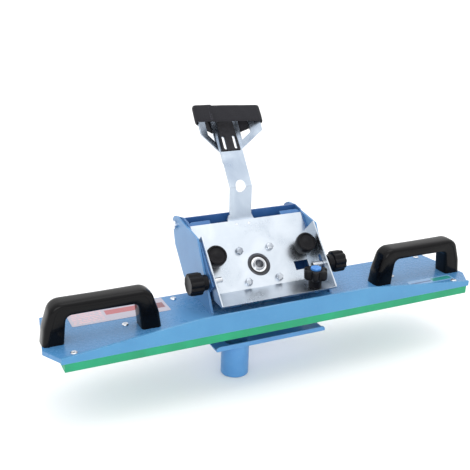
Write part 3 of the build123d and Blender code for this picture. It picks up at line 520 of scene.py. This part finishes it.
# ---- Side plates and hinge --------------------------------------------------------------------------
# Two upright 3 mm plates welded to the deck, coated with it, with a lug at the back and a clamp slot.
# Plated pins with nuts through the lugs carry the tilting hood.
plate_paint = powder_coat("plate_paint", tint(86, 138, 186), tint(74, 124, 172), 0.26)
dress(plate_paint, "left_side_plate", "right_side_plate")
dress(screw_zinc, "hinge_pins", "hinge_nuts", "clamp_weld_nuts")

# ---- Labels -----------------------------------------------------------------------------------------
# Printed film stuck on the deck: a pale one with a red block and rows of bars at the left back,
# and a blue and green one at the right front. The print is plain shapes only, with no lettering.


def printed_film(name, paper, blocks):
    """Film with plain printed blocks, each (x from, x to, y from, y to, pitch, colour) in mm."""
    film = Finish(name)
    x, y, _ = film.axes()
    blotch = film.noise(3 * mm, detail=3.0)
    colour = film.mix(blotch.between(0.35, 0.75) * 0.2, paper, tint(160, 156, 168))
    for x_from, x_to, y_from, y_to, pitch, ink in blocks:
        inside = (x > x_from * mm) * (x < x_to * mm) * (y > y_from * mm) * (y < y_to * mm)
        if pitch:
            rows = film.node(
                "Math", {"operation": "PINGPONG"}, {0: (y - y_from * mm) * (1 / (pitch * mm)), 1: 1.0}
            )
            gaps = film.noise((4 * mm, pitch * mm, 1.0), detail=1.0)
            inside = inside * (rows > 0.5) * gaps.between(0.42, 0.5)
        colour = film.mix(inside * (0.75 + blotch * 0.4), colour, ink)
    return film.surface(colour, 0.24 + blotch * 0.1, film.relief(blotch, 0.02 * mm), Coat_Weight=0.3)


left_print = printed_film("left_print", tint(170, 166, 180), [
    (-276, -233, 85, 117, 2.6, tint(214, 170, 176)),
    (-229, -181, 98, 112, 0, tint(168, 78, 86)),
    (-176, -160, 86, 116, 3.2, tint(206, 168, 174)),
    (-157, -146, 92, 108, 0, tint(120, 62, 72)),
])
right_print = printed_film("right_print", tint(112, 160, 204), [
    (225, 262, 24.5, 27.5, 0, tint(28, 62, 120)),
    (264, 299, 22, 32, 0, tint(40, 140, 132)),
])
dress(left_print, "left_label")
dress(right_print, "right_label")

# ---- Dust trough and tube ----------------------------------------------------------------------------
# A bent and welded sheet trough under the blade slot, with a turned-out lip and a round spout in its floor.
trough_paint = powder_coat("trough_paint", tint(86, 146, 200), tint(70, 128, 184), 0.28)
dress(trough_paint, "dust_trough", "dust_tube")

# ---- Hood -------------------------------------------------------------------------------------------
# The folded blue box between the side plates: sloping back plate, rear panel and two cheeks.
# It tilts on the hinge pins and the tray slides on its slope.
# A darker copy of the same blue coat for the hood's pieces: painted shade for the box set in between the
# side plates.
shaded_hood_paint = powder_coat("shaded_hood_paint", tint(60, 110, 162), tint(46, 92, 146), 0.34)
dress(shaded_hood_paint, "hood_back_plate", "hood_left_cheek", "hood_right_cheek")
# A darker copy still for the rear panel: painted shade for the panel standing in the hood's shadow.
shaded_rear_paint = powder_coat("shaded_rear_paint", tint(48, 92, 150), tint(36, 78, 136), 0.34)
dress(shaded_rear_paint, "hood_rear_panel")

# ---- Tray -------------------------------------------------------------------------------------------
# One blank of 2 mm bright-zinc-plated sheet folded into a sloping plate, two sides and a bottom flange.
# The plating is cloudy and shows soft reflections, finger marks and rolling lines across the sheet.


def zinc_sheet(name, light, dark, grain, gloss, warp_depth):
    """Bright zinc: a cloudy mirror with a slow waviness, rolling lines and a few rubbed marks."""
    zinc = Finish(name)
    cloud = zinc.noise(46 * mm, detail=3.0, rough=0.5, warp=0.8)
    wave = zinc.noise(55 * mm, detail=1.5)
    mark = zinc.noise(7 * mm, detail=5.0, rough=0.7, warp=0.5)
    rolled = zinc.noise(grain, detail=3.0, rough=0.6)
    spangle_place = zinc.at((2.4 * mm,) * 3)
    spangle = zinc.node("TexVoronoi", {"feature": "F1"}, {"Vector": spangle_place, "Scale": 1.0})
    eased = zinc.rounded(0.5 * mm)
    colour = zinc.mix(cloud.between(0.32, 0.7), dark, light)
    colour = zinc.mix(mark.between(0.6, 0.85) * 0.16, colour, dark)
    colour = zinc.mix(rolled.between(0.58, 0.8) * 0.2, colour, tint(222, 230, 238))
    # Near-white on every corner: a painted highlight along the folded edges.
    colour = zinc.mix(zinc.corners(eased) * 0.6, colour, tint(250, 252, 255))
    rough = gloss + cloud.between(0.3, 0.75) * 0.08 + mark.between(0.5, 0.8) * 0.1 + spangle * 0.03
    normal = zinc.relief(wave, warp_depth, eased)
    normal = zinc.relief(rolled, 0.012 * mm, normal)
    return zinc.surface(colour, rough, normal, Metallic=1.0)


tray_zinc = zinc_sheet(
    "tray_zinc", tint(203, 210, 218), tint(184, 193, 203), (60 * mm, 0.8 * mm, 0.8 * mm), 0.24, 0.25 * mm
)
dress(tray_zinc, "tray")

# ---- Bearing housing, bearing and bolts --------------------------------------------------------------
# A turned alloy block behind the tray holds a 35 mm ball bearing, sealed with black rubber on each face.
# Four M6 hexagon bolts with spring washers, on a square round it, pass through the sheet.
housing_metal = brushed_metal(
    "housing_metal", tint(205, 208, 212), tint(170, 174, 180), 0.3, (1 * mm, 8 * mm, 1 * mm), 0.03 * mm
)
bearing_metal = brushed_metal(
    "bearing_metal",
    tint(240, 242, 245),
    tint(216, 220, 226),
    0.1,
    (0.6 * mm, 0.6 * mm, 0.6 * mm),
    0.006 * mm,
)
ramp_cos = math.sqrt(0.5)
fold_y, fold_z = 64, 38


def on_ramp(x, up):
    """The point at x and so far up the sloping plate from its fold, all in mm."""
    return Vector((x * mm, (fold_y + up * ramp_cos) * mm, (fold_z + up * ramp_cos) * mm))


spindle_spot = on_ramp(-4, 34)
ramp_lean = (math.radians(45), 0, 0)
ramp_turn = Matrix.Rotation(ramp_lean[0], 4, "X")
ramp_frame = Matrix.Translation(spindle_spot) @ ramp_turn

seal_rubber = Finish("seal_rubber")
ring_place = seal_rubber.at((mm, mm, mm), spot=spindle_spot, turn=ramp_lean)
rx, ry, _ = seal_rubber.axes(ring_place)
ring_radius = seal_rubber.node("Math", {"operation": "SQRT"}, {0: rx * rx + ry * ry})
moulded_rings = seal_rubber.node("Math", {"operation": "PINGPONG"}, {0: ring_radius, 1: 0.75})
rubber_bloom = seal_rubber.noise(4 * mm, detail=4.0)
rubber_black = seal_rubber.surface(
    seal_rubber.mix(rubber_bloom.between(0.4, 0.8) * 0.5, tint(18, 18, 20), tint(46, 46, 50)),
    0.42 + rubber_bloom * 0.2,
    seal_rubber.relief(moulded_rings, 0.12 * mm),
)
dress(housing_metal, "bearing_housing", "blade_flange", "blade_nut")
dress(bearing_metal, "bearing_inner_race", "bearing_balls")
dress(rubber_black, "bearing_seals")

outer_race_steel = brushed_metal(
    "outer_race_steel", tint(92, 94, 100), tint(48, 50, 56), 0.3, (0.6 * mm, 0.6 * mm, 0.6 * mm), 0.01 * mm
)
dress(outer_race_steel, "bearing_outer_race")


def hex_bolt():
    """A hexagon head 10 mm across its flats with turned-down corners, on a split washer, from z = 0."""
    bm = bmesh.new()
    washer = [(5.6, 0.0), (5.6, 0.9), (5.3, 1.1), (3.2, 1.1)]
    rings = [loop_of(bm, circle(r * mm, z * mm, 30)) for r, z in washer]
    for lower, upper in zip(rings, rings[1:]):
        skin(bm, lower, upper)
    bm.faces.new(rings[0])
    bm.faces.new(rings[-1])
    corner_radius, flat_radius = 5.77, 5.0
    sides = 48
    levels = [(1.1, 1.0), (3.5, 1.0), (4.2, 0.0), (4.4, -0.12)]
    hexes = []
    for height, edge in levels:
        ring = []
        for i in range(sides):
            a = 2 * math.pi * i / sides
            in_flat = (a + math.pi / 6) % (math.pi / 3) - math.pi / 6
            hexagon = flat_radius / math.cos(in_flat)
            turned = min(hexagon, corner_radius)
            round_top = flat_radius - 0.25
            r = turned * edge + round_top * (1 - edge) if edge >= 0 else round_top + edge * 4
            ring.append((r * mm * math.cos(a), r * mm * math.sin(a), height * mm))
        hexes.append(loop_of(bm, ring))
    for lower, upper in zip(hexes, hexes[1:]):
        skin(bm, lower, upper)
    bm.faces.new(hexes[0])
    bm.faces.new(hexes[-1])
    return close_up(bm, "hex_bolt")


bolt_steel = brushed_metal(
    "bolt_steel", tint(196, 202, 210), tint(112, 120, 132), 0.16, (1 * mm, 1 * mm, 1 * mm), 0.01 * mm
)
bolt_template = put("bolt_template", hex_bolt(), bolt_steel)
bolt_reach = 24.4 * mm
bolt_heads = on_spots("bolts_on_spots", bolt_template, bolt_steel, 5, math.pi).run(
    "housing_bolt_heads",
    [(i * bolt_reach, j * bolt_reach, 0) for i in (-1, 1) for j in (-1, 1)],
    ramp_frame,
)
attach(bolt_heads, "tray")
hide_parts("housing_bolts")
bpy.data.objects.remove(bolt_template)
dress(screw_zinc, "stop_nut", "arm_rivets")

# ---- Spindle and blade -------------------------------------------------------------------------------
# A turned steel spindle through the bearing, threaded for the grinder, carries the flanges and the disc.
# The disc is a blue painted steel core with a sintered rim of slanted ribs, standing behind the tray.
spindle_steel = brushed_metal(
    "spindle_steel",
    tint(196, 198, 202),
    tint(140, 143, 148),
    0.26,
    (1.2 * mm, 1.2 * mm, 0.3 * mm),
    0.02 * mm,
)
dress(spindle_steel, "spindle")

disc_paint = Finish("disc_paint")
disc_place = disc_paint.at((mm, mm, mm), spot=spindle_spot, turn=ramp_lean)
dx, dy, _ = disc_paint.axes(disc_place)
disc_radius = disc_paint.node("Math", {"operation": "SQRT"}, {0: dx * dx + dy * dy})
disc_dust = disc_paint.noise(8 * mm, detail=5.0, rough=0.65)
printed_ring = (disc_radius > 25.4) * (disc_radius < 26.4) + (disc_radius > 47.6) * (disc_radius < 48.2)
turning = disc_paint.node("Math", {"operation": "PINGPONG"}, {0: disc_radius, 1: 0.4})
disc_blue = disc_paint.mix(disc_dust.between(0.3, 0.7), tint(58, 158, 186), tint(78, 182, 206))
disc_blue = disc_paint.mix(printed_ring * 0.7, disc_blue, tint(24, 74, 98))
disc_material = disc_paint.surface(
    disc_blue, 0.34 + disc_dust * 0.15, disc_paint.relief(turning, 0.04 * mm), Metallic=0.2
)
dress(disc_material, "blade_core")

sintered = Finish("sintered_rim")
grains = sintered.noise(0.5 * mm, detail=3.0, rough=0.8)
burnt = sintered.noise(6 * mm, detail=3.0)
rim_colour = sintered.mix(grains.between(0.3, 0.7), tint(92, 82, 68), tint(176, 164, 142))
rim_colour = sintered.mix(burnt.between(0.45, 0.7) * 0.4, rim_colour, tint(70, 66, 62))
rim_material = sintered.surface(
    rim_colour, 0.5 + grains * 0.25, sintered.relief(grains, 0.15 * mm), Metallic=0.75
)

rim_recipe = Recipe(
    "turbo_rim", Radius=54.3 * mm, Depth=6.4 * mm, Thickness=2.4 * mm, Rib=2.7 * mm, Slant=0.42, Ribs=80,
    Material=rim_material,
)
rim_sizes = rim_recipe.start
rib_size = rim_recipe.node(
    "ShaderNodeCombineXYZ",
    {},
    {"X": rim_sizes["Rib"], "Y": rim_sizes["Depth"], "Z": rim_sizes["Thickness"]},
)
rib = rim_recipe.node("GeometryNodeMeshCube", {}, {"Size": rib_size})
rib_turn = rim_recipe.node("ShaderNodeCombineXYZ", {}, {"Z": rim_sizes["Slant"]})
rib = rim_recipe.node("GeometryNodeTransform", {}, {"Geometry": rib, "Rotation": rib_turn})
pitch_ring = rim_recipe.node(
    "GeometryNodeMeshCircle",
    {"fill_type": "NONE"},
    {"Vertices": rim_sizes["Ribs"], "Radius": rim_sizes["Radius"]},
)
rib_place = rim_recipe.node("GeometryNodeInputPosition", {}, {})
towards = rim_recipe.node("FunctionNodeAlignRotationToVector", {"axis": "Y"}, {"Vector": rib_place})
ribs = rim_recipe.node(
    "GeometryNodeInstanceOnPoints", {}, {"Points": pitch_ring, "Instance": rib, "Rotation": towards}
)
band_line = rim_recipe.node(
    "GeometryNodeCurvePrimitiveCircle", {}, {"Resolution": 160, "Radius": rim_sizes["Radius"]}
)
band_form = rim_recipe.node(
    "GeometryNodeCurvePrimitiveQuadrilateral", {}, {"Width": 6.2 * mm, "Height": 1.7 * mm}
)
band = rim_recipe.node("GeometryNodeCurveToMesh", {}, {"Curve": band_line, "Profile Curve": band_form})
joined = rim_recipe.tree.nodes.new("GeometryNodeJoinGeometry")
rim_recipe.tree.links.new(ribs, joined.inputs[0])
rim_recipe.tree.links.new(band, joined.inputs[0])
rim_recipe.finish_with(joined.outputs[0])
blade_setback = 28 * mm
blade_frame = ramp_frame @ Matrix.Translation((0, 0, -blade_setback))
turbo_rim = rim_recipe.run("turbo_rim", [(0, 0, 0)], blade_frame)
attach(turbo_rim, "spindle")
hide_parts("blade_rim")

# ---- Tray knobs --------------------------------------------------------------------------------------
# Two round black moulded knobs on M8 studs that clamp the tray to the hood's back plate.
# Each is narrow at the sheet, full at its rim, with a rounded edge and a sunk end face.


def lobed(profile, name, lobes=0, steps=96):
    """A turned shape from (height, radius, lobe depth) rows; lobes are soft flutes cut round the rim."""
    bm = bmesh.new()
    rings = []
    for height, radius, depth in profile:
        ring = []
        for i in range(steps):
            a = 2 * math.pi * i / steps
            dip = (0.5 - 0.5 * math.cos(lobes * a)) ** 1.6 if lobes else 0.0
            r = max(radius - depth * dip, 0.05) * mm
            ring.append((r * math.cos(a), r * math.sin(a), height * mm))
        rings.append(loop_of(bm, ring))
    for lower, upper in zip(rings, rings[1:]):
        skin(bm, lower, upper)
    bm.faces.new(rings[0])
    bm.faces.new(rings[-1])
    return close_up(bm, name)


satin_moulding = Finish("satin_moulding")
pebble = satin_moulding.noise(0.45 * mm, detail=2.0)
palm = satin_moulding.noise(5 * mm, detail=4.0, rough=0.65)
knob_eased = satin_moulding.rounded(0.4 * mm)
knob_colour = satin_moulding.mix(palm.between(0.4, 0.8) * 0.4, tint(11, 11, 14), tint(26, 26, 33))
# Dark grey on every corner: a painted highlight along the knob's edges.
knob_colour = satin_moulding.mix(satin_moulding.corners(knob_eased) * 0.3, knob_colour, tint(40, 42, 50))
knob_black = satin_moulding.surface(
    knob_colour,
    0.3 + palm * 0.16,
    satin_moulding.relief(pebble, 0.03 * mm, knob_eased),
    Specular_IOR_Level=0.14,
)
stud_zinc = brushed_metal(
    "stud_zinc", tint(222, 224, 228), tint(168, 172, 178), 0.22, (0.5 * mm, 0.5 * mm, 0.5 * mm), 0.02 * mm
)
clamp_profile = [
    (0.2, 11.6, 0), (0.2, 12.0, 0), (1.2, 12.3, 0), (6.0, 13.5, 0), (11.0, 14.6, 0), (12.5, 15.0, 0),
    (19.0, 15.0, 0), (20.6, 14.6, 0), (21.6, 13.7, 0), (22.0, 12.6, 0), (21.9, 11.9, 0), (21.2, 11.4, 0),
    (20.3, 11.0, 0), (20.1, 10.2, 0), (20.2, 5.0, 0), (20.5, 4.4, 0), (20.5, 0.2, 0),
]
for side_name, knob_x in (("left", -72), ("right", 72)):
    knob_spot = Matrix.Translation(on_ramp(knob_x, 50))
    knob_mesh = lobed(clamp_profile, side_name + "_clamp_knob")
    knob_mesh.transform(knob_spot @ ramp_turn)
    knob_piece = put(side_name + "_clamp_knob", knob_mesh, knob_black)
    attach(knob_piece, side_name + "_tray_knob")
    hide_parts(side_name + "_tray_knob")
    dress(stud_zinc, side_name + "_tray_knob_stud")

# ---- Side knobs --------------------------------------------------------------------------------------
# Two fluted black knobs outside the side plates, on a short neck, that lock the hood's tilt
# through the arc slots.
side_profile = [
    (0.2, 10.0, 0), (0.2, 10.9, 0), (1.0, 11.0, 0), (6.6, 11.0, 0), (7.8, 11.6, 0), (8.2, 13.8, 0.6),
    (8.6, 15.2, 1.4), (9.8, 15.9, 2.0), (11.5, 16.0, 2.2), (23.4, 16.0, 2.2), (25.4, 15.7, 2.0),
    (26.5, 14.8, 1.4), (27.0, 13.4, 0.6), (27.0, 12.0, 0), (26.7, 11.4, 0), (26.6, 0.2, 0),
]
for side_name, side in (("left", -1), ("right", 1)):
    outward = Matrix.Rotation(side * math.pi / 2, 4, "Y")
    knob_mesh = lobed(side_profile, side_name + "_fluted_knob", lobes=10, steps=120)
    knob_mesh.transform(Matrix.Translation((side * 96 * mm, 66 * mm, 58 * mm)) @ outward)
    knob_piece = put(side_name + "_fluted_knob", knob_mesh, knob_black)
    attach(knob_piece, side_name + "_side_knob")
    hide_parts(side_name + "_side_knob")
    dress(stud_zinc, side_name + "_side_knob_stud")

# ---- Stop screw --------------------------------------------------------------------------------------
# A lobed black knob with a blue cap on the tray's bottom flange; its screw sets the depth of cut.
stop_profile = [
    (0.3, 8.6, 0), (0.3, 9.4, 0), (1.2, 9.5, 0), (11.8, 9.5, 0), (12.8, 10.2, 0), (13.2, 13.0, 1.5),
    (13.8, 16.4, 3.8), (15.0, 17.6, 5.0), (17.0, 18.0, 5.4), (24.2, 18.0, 5.4), (25.8, 17.5, 5.2),
    (26.9, 16.2, 4.4), (27.3, 14.4, 3.2), (27.3, 8.4, 0), (27.0, 7.6, 0), (25.5, 7.55, 0), (25.4, 0.2, 0),
]
stop_x, stop_y = 60 * mm, 36 * mm
stop_spot = Matrix.Translation((stop_x, stop_y, fold_z * mm))
stop_mesh = lobed(stop_profile, "lobed_stop_knob", lobes=6, steps=144)
stop_mesh.transform(stop_spot)
stop_piece = put("lobed_stop_knob", stop_mesh, knob_black)
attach(stop_piece, "stop_screw")
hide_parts("stop_knob")

cap_moulding = Finish("cap_moulding")
cap_cloud = cap_moulding.noise(3 * mm, detail=4.0)
cap_grain = cap_moulding.noise(0.4 * mm, detail=1.0)
cap_blue = cap_moulding.surface(
    cap_moulding.mix(cap_cloud.between(0.35, 0.7), tint(58, 118, 190), tint(82, 146, 214)),
    0.3 + cap_cloud * 0.12,
    cap_moulding.relief(cap_grain, 0.02 * mm, cap_moulding.rounded(0.4 * mm)),
)
dress(cap_blue, "stop_knob_cap")

# The screw's thread is a fine triangular ridge wound along the rod, where it shows below the flange.
thread_recipe = Recipe(
    "wound_thread", Radius=3.95 * mm, Length=15.0 * mm, Turns=12.0, Ridge=0.42 * mm, Material=stud_zinc
)
thread_sizes = thread_recipe.start
winding = thread_recipe.node(
    "GeometryNodeCurveSpiral", {},
    {"Resolution": 36, "Rotations": thread_sizes["Turns"], "Start Radius": thread_sizes["Radius"],
     "End Radius": thread_sizes["Radius"], "Height": thread_sizes["Length"]},
)
ridge = thread_recipe.node(
    "GeometryNodeCurvePrimitiveCircle", {}, {"Resolution": 4, "Radius": thread_sizes["Ridge"]}
)
thread = thread_recipe.node(
    "GeometryNodeCurveToMesh", {}, {"Curve": winding, "Profile Curve": ridge, "Fill Caps": True}
)
thread_recipe.finish_with(thread)
stop_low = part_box("stop_screw")[0].z
screw_thread = thread_recipe.run(
    "stop_screw_thread", [(0, 0, 0)], Matrix.Translation((stop_x, stop_y, stop_low + 1 * mm))
)
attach(screw_thread, "stop_screw")
dress(stud_zinc, "stop_screw")

# ---- Arm and yoke ------------------------------------------------------------------------------------
# A zinc-plated strip riveted behind the tray's top edge, with a hole at its bend, carries the folded yoke.
# Both are brushed along their length before plating, and the grinder's body lies in the yoke.
arm_zinc = zinc_sheet(
    "arm_zinc", tint(192, 203, 215), tint(160, 173, 190), (0.7 * mm, 26 * mm, 26 * mm), 0.26, 0.3 * mm
)
dress(arm_zinc, "arm")
yoke_zinc = zinc_sheet(
    "yoke_zinc", tint(188, 199, 212), tint(138, 152, 170), (0.8 * mm, 12 * mm, 12 * mm), 0.22, 0.3 * mm
)
dress(yoke_zinc, "yoke")

# ---- Yoke lining -------------------------------------------------------------------------------------
# A pad of black cellular rubber, cut with two slots for the strap and glued in the yoke's middle.
# Its edges are soft and its face is faintly crowned, so the grinder doesn't slip or scratch.
lean = Matrix.Rotation(math.radians(52), 4, "X")
yoke_frame = Matrix.Translation((-9 * mm, 143.9 * mm, 163 * mm)) @ lean


def soft_copy(node, name, width):
    """The node's own solid with its doubles merged and its sharp edges rounded."""
    mesh = nodes[node].data.copy()
    bm = bmesh.new()
    bm.from_mesh(mesh)
    bmesh.ops.remove_doubles(bm, verts=bm.verts, dist=0.002 * mm)
    bmesh.ops.dissolve_limit(bm, angle_limit=math.radians(1), verts=bm.verts, edges=bm.edges)
    sharp = [e for e in bm.edges if len(e.link_faces) == 2 and e.calc_face_angle(0) > math.radians(40)]
    bmesh.ops.bevel(
        bm, geom=sharp, offset=width, segments=3, profile=0.5, affect="EDGES", clamp_overlap=True
    )
    bm.to_mesh(mesh)
    bm.free()
    mesh.name = name
    return mesh


foam = Finish("foam_rubber")
cells = foam.node("TexVoronoi", {"feature": "F1"}, {"Vector": foam.at((0.7 * mm,) * 3), "Scale": 1.0}, 0)
foam_dust = foam.noise(6 * mm, detail=5.0, rough=0.7)
foam_black = foam.surface(
    foam.mix(foam_dust.between(0.45, 0.8) * 0.5, tint(22, 22, 27), tint(58, 58, 66)),
    0.78 + foam_dust * 0.15,
    foam.relief(cells, 0.12 * mm),
)
lining = put("lining_pad", soft_copy("yoke_lining", "lining_pad", 0.8 * mm), foam_black)
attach(lining, "tray")
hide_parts("yoke_lining")

# ---- Strap -------------------------------------------------------------------------------------------
# A 26 mm hook-and-loop band wrapped round the yoke's wings and closed on itself at the left,
# with its stitched end overlapping; it hangs a little lower behind the yoke than in front.
strap_half, strap_back_half = 52.1, 20.5
strap_rear, strap_turn, strap_face = -7.0, 15.0, 20.0
start_x = -strap_half + 3.0
outline = [
    (start_x, strap_face + 0.4),
    (0.0, strap_face + 0.9),
    (strap_half, strap_face),
    (strap_half, strap_turn),
    (strap_back_half, strap_rear),
    (-strap_back_half, strap_rear),
    (-strap_half, strap_turn),
    (-strap_half - 0.4, strap_face + 2.0),
    (-strap_half + 26.0, strap_face + 3.0),
]
strap_radii = [60 * mm, 4 * mm, 4 * mm, 9 * mm, 9 * mm, 4 * mm, 4 * mm]
strap_path = eased_path([(x * mm, n * mm) for x, n in outline], strap_radii)
strap_stations = even_stations(strap_path, 150)
strap_run = sum((b - a).length for a, b in zip(strap_path, strap_path[1:]))
strap_wide, strap_thick = 26.0 * mm, 2.2 * mm
strap_low = 95.0 * mm
strap_slant, strap_drop = 0.05, 7.0 * mm
rows = 14


def band_mesh(stations, low, wide, thick, wobble):
    """A flat band standing on the path: rounded edges, a slight bow across, and a length-wise UV map."""
    bm = bmesh.new()
    uv = bm.loops.layers.uv.new("UVMap")
    rings, along = [], 0.0
    marks = []
    for k, place in enumerate(stations):
        before, after = stations[max(k - 1, 0)], stations[min(k + 1, len(stations) - 1)]
        heading = (after - before).normalized()
        outward = Vector((-heading.y, heading.x))
        if k:
            along += (place - stations[k - 1]).length
        ring, mark = [], []
        for face, order in ((1, range(rows + 1)), (-1, range(rows, -1, -1))):
            for row in order:
                v = row / rows
                edge = min(v, 1 - v) * wide / (0.5 * thick)
                fat = thick / 2 * math.sqrt(max(1 - (1 - min(edge, 1.0)) ** 2, 0.04))
                bow = 0.5 * mm * math.sin(math.pi * v)
                ripple = wobble * math.sin(along / (13 * mm) + 5 * v) * math.sin(along / (5.2 * mm))
                across = outward * (face * fat + bow + ripple)
                spot = place + across
                behind = min(max((strap_face * mm - spot.y) / ((strap_face - strap_rear) * mm), 0.0), 1.0)
                drop = strap_slant * spot.x + strap_drop * behind
                ring.append(yoke_frame @ Vector((spot.x, low + v * wide - drop, spot.y)))
                mark.append((along, v * wide))
        rings.append(loop_of(bm, ring))
        marks.append(mark)
    for k in range(len(rings) - 1):
        count = len(rings[k])
        for i in range(count):
            j = (i + 1) % count
            face = bm.faces.new((rings[k][i], rings[k][j], rings[k + 1][j], rings[k + 1][i]))
            for loop, spot in zip(face.loops, (marks[k][i], marks[k][j], marks[k + 1][j], marks[k + 1][i])):
                loop[uv].uv = spot
    bm.faces.new(rings[0])
    bm.faces.new(rings[-1])
    bmesh.ops.recalc_face_normals(bm, faces=bm.faces)
    mesh = bpy.data.meshes.new("band")
    bm.to_mesh(mesh)
    bm.free()
    return mesh


webbing = Finish("loop_webbing")
lengthwise = webbing.node("UVMap", {"uv_map": "UVMap"}, {}, 0)
u, v, _ = webbing.axes(lengthwise)
pile = webbing.noise((0.5 * mm, 0.35 * mm, 1.0), detail=4.0, rough=0.8, where=lengthwise)
lint = webbing.noise(2.2 * mm, detail=5.0, rough=0.75)
pull = webbing.noise((14 * mm, 3 * mm, 1.0), detail=3.0, where=lengthwise)
ribs_across = webbing.node("Math", {"operation": "PINGPONG"}, {0: u * (1 / (0.9 * mm)), 1: 0.5})
edge_weave = ((v < 1.4 * mm) + (v > 24.6 * mm)) * 0.8
web_colour = webbing.mix(pile.between(0.3, 0.75), tint(8, 8, 14), tint(22, 22, 32))
web_colour = webbing.mix(lint.between(0.62, 0.82) * 0.25, web_colour, tint(70, 70, 84))
web_colour = webbing.mix(edge_weave * 0.5, web_colour, tint(24, 24, 30))
web_height = pile * 0.6 + pull * 0.5 + ribs_across * edge_weave * 0.5
strap_black = webbing.surface(
    web_colour,
    0.88 + lint * 0.08,
    webbing.relief(web_height, 0.35 * mm),
    Sheen_Weight=0.08,
    Sheen_Roughness=0.5,
)
strap_ripple = 0.22 * mm
strap_mesh = band_mesh(strap_stations, strap_low, strap_wide, strap_thick, strap_ripple)
band_piece = put("strap_band", strap_mesh, strap_black)
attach(band_piece, "tray")
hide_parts("strap")

stitch_thread = Finish("stitch_thread")
twist = stitch_thread.noise((0.3 * mm, 0.3 * mm, 0.3 * mm), detail=2.0)
stitch_grey = stitch_thread.surface(
    stitch_thread.mix(twist, tint(30, 30, 38), tint(78, 78, 90)), 0.8 + twist * 0.1,
    stitch_thread.relief(twist, 0.05 * mm),
)
stitch_recipe = Recipe(
    "sewn_line", Length=2.4 * mm, Thread=0.28 * mm, Material=stitch_grey
)
stitch_sizes = stitch_recipe.start
stitch_end = stitch_recipe.node("ShaderNodeCombineXYZ", {}, {"Y": stitch_sizes["Length"]})
stitch_line = stitch_recipe.node("GeometryNodeCurvePrimitiveLine", {}, {"End": stitch_end})
stitch_round = stitch_recipe.node(
    "GeometryNodeCurvePrimitiveCircle", {}, {"Resolution": 6, "Radius": stitch_sizes["Thread"]}
)
stitch = stitch_recipe.node(
    "GeometryNodeCurveToMesh", {}, {"Curve": stitch_line, "Profile Curve": stitch_round, "Fill Caps": True}
)
stitches = stitch_recipe.node(
    "GeometryNodeInstanceOnPoints", {}, {"Points": stitch_recipe.start["Geometry"], "Instance": stitch}
)
stitch_recipe.finish_with(stitches)
stitch_face = (strap_face + 3.0) * mm + strap_thick / 2 + 0.05 * mm
sewn = stitch_recipe.run(
    "strap_stitches",
    [
        ((-strap_half + x) * mm, (96.6 + 3.6 * i - strap_slant * (x - strap_half)) * mm, stitch_face)
        for x in (21.0, 23.4)
        for i in range(7)
    ],
    yoke_frame,
)
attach(sewn, "tray")

# ---- Floor, light and camera -------------------------------------------------------------------------
# A plain pale floor under the spout, a white room, one large soft lamp ahead on the left and one above.
floor_mesh = bpy.data.meshes.new("floor")
floor_height = cad_box[0].z - 0.5 * mm
floor_mesh.from_pydata(
    [(-30, -30, floor_height), (30, -30, floor_height), (30, 30, floor_height), (-30, 30, floor_height)],
    [], [(0, 1, 2, 3)],
)
floor = bpy.data.objects.new("floor", floor_mesh)
bpy.context.scene.collection.objects.link(floor)
floor_finish = Finish("floor_paper")
paper_grain = floor_finish.noise(0.3, detail=2.0)
floor_mesh.materials.append(
    floor_finish.surface(
        floor_finish.mix(paper_grain * 0.2, (0.93, 0.93, 0.93, 1), (0.9, 0.9, 0.9, 1)), 0.9
    )
)

room = bpy.data.worlds.new("room")
room.use_nodes = True
backdrop = room.node_tree.nodes["Background"]
backdrop.inputs["Color"].default_value = (1.0, 1.0, 1.0, 1)
direction = room.node_tree.nodes.new("ShaderNodeTexCoord")
parts_of_it = room.node_tree.nodes.new("ShaderNodeSeparateXYZ")
brighter_above = room.node_tree.nodes.new("ShaderNodeMapRange")
for name, value in (("From Min", 0.0), ("From Max", 1.0), ("To Min", 0.95), ("To Max", 1.5)):
    brighter_above.inputs[name].default_value = value
room.node_tree.links.new(direction.outputs["Generated"], parts_of_it.inputs[0])
room.node_tree.links.new(parts_of_it.outputs["Z"], brighter_above.inputs["Value"])
room.node_tree.links.new(brighter_above.outputs["Result"], backdrop.inputs["Strength"])
bpy.context.scene.world = room


def lamp(name, place, aim, width, height, power):
    light = bpy.data.lights.new(name, "AREA")
    light.shape = "RECTANGLE"
    light.size, light.size_y = width, height
    light.energy = power
    holder = bpy.data.objects.new(name, light)
    bpy.context.scene.collection.objects.link(holder)
    holder.location = place
    holder.rotation_euler = (Vector(aim) - Vector(place)).to_track_quat("-Z", "Y").to_euler()
    return holder


lamp("front_lamp", (-1.1, -2.2, 1.3), (0, 0.05, 0.05), 1.6, 1.2, 20)
lamp("top_lamp", (0.3, 0.2, 2.4), (0, 0.05, 0.05), 1.8, 1.4, 10)

camera = bpy.data.objects.new("camera", bpy.data.cameras.new("camera"))
bpy.context.scene.collection.objects.link(camera)
turn_right, tip_down, roll = math.radians(25.89), math.radians(20.91), math.radians(1.72)
flat_reach = math.cos(tip_down)
ahead = Vector(
    (math.sin(turn_right) * flat_reach, math.cos(turn_right) * flat_reach, -math.sin(tip_down))
)
level = Vector((math.cos(turn_right), -math.sin(turn_right), 0))
upright = level.cross(ahead)
right = level * math.cos(roll) + upright * math.sin(roll)
up = upright * math.cos(roll) - level * math.sin(roll)
camera_spot = Matrix.Translation((-0.4877, -0.8315, 0.4985))
camera.matrix_world = camera_spot @ Matrix((right, up, -ahead)).transposed().to_4x4()
camera.data.lens = 59.8
camera.data.sensor_width = 36.0
camera.data.shift_x, camera.data.shift_y = -0.0032, 0.006
camera.data.clip_start, camera.data.clip_end = 0.05, 100.0
bpy.context.scene.camera = camera
bpy.context.scene.view_settings.view_transform = "Standard"
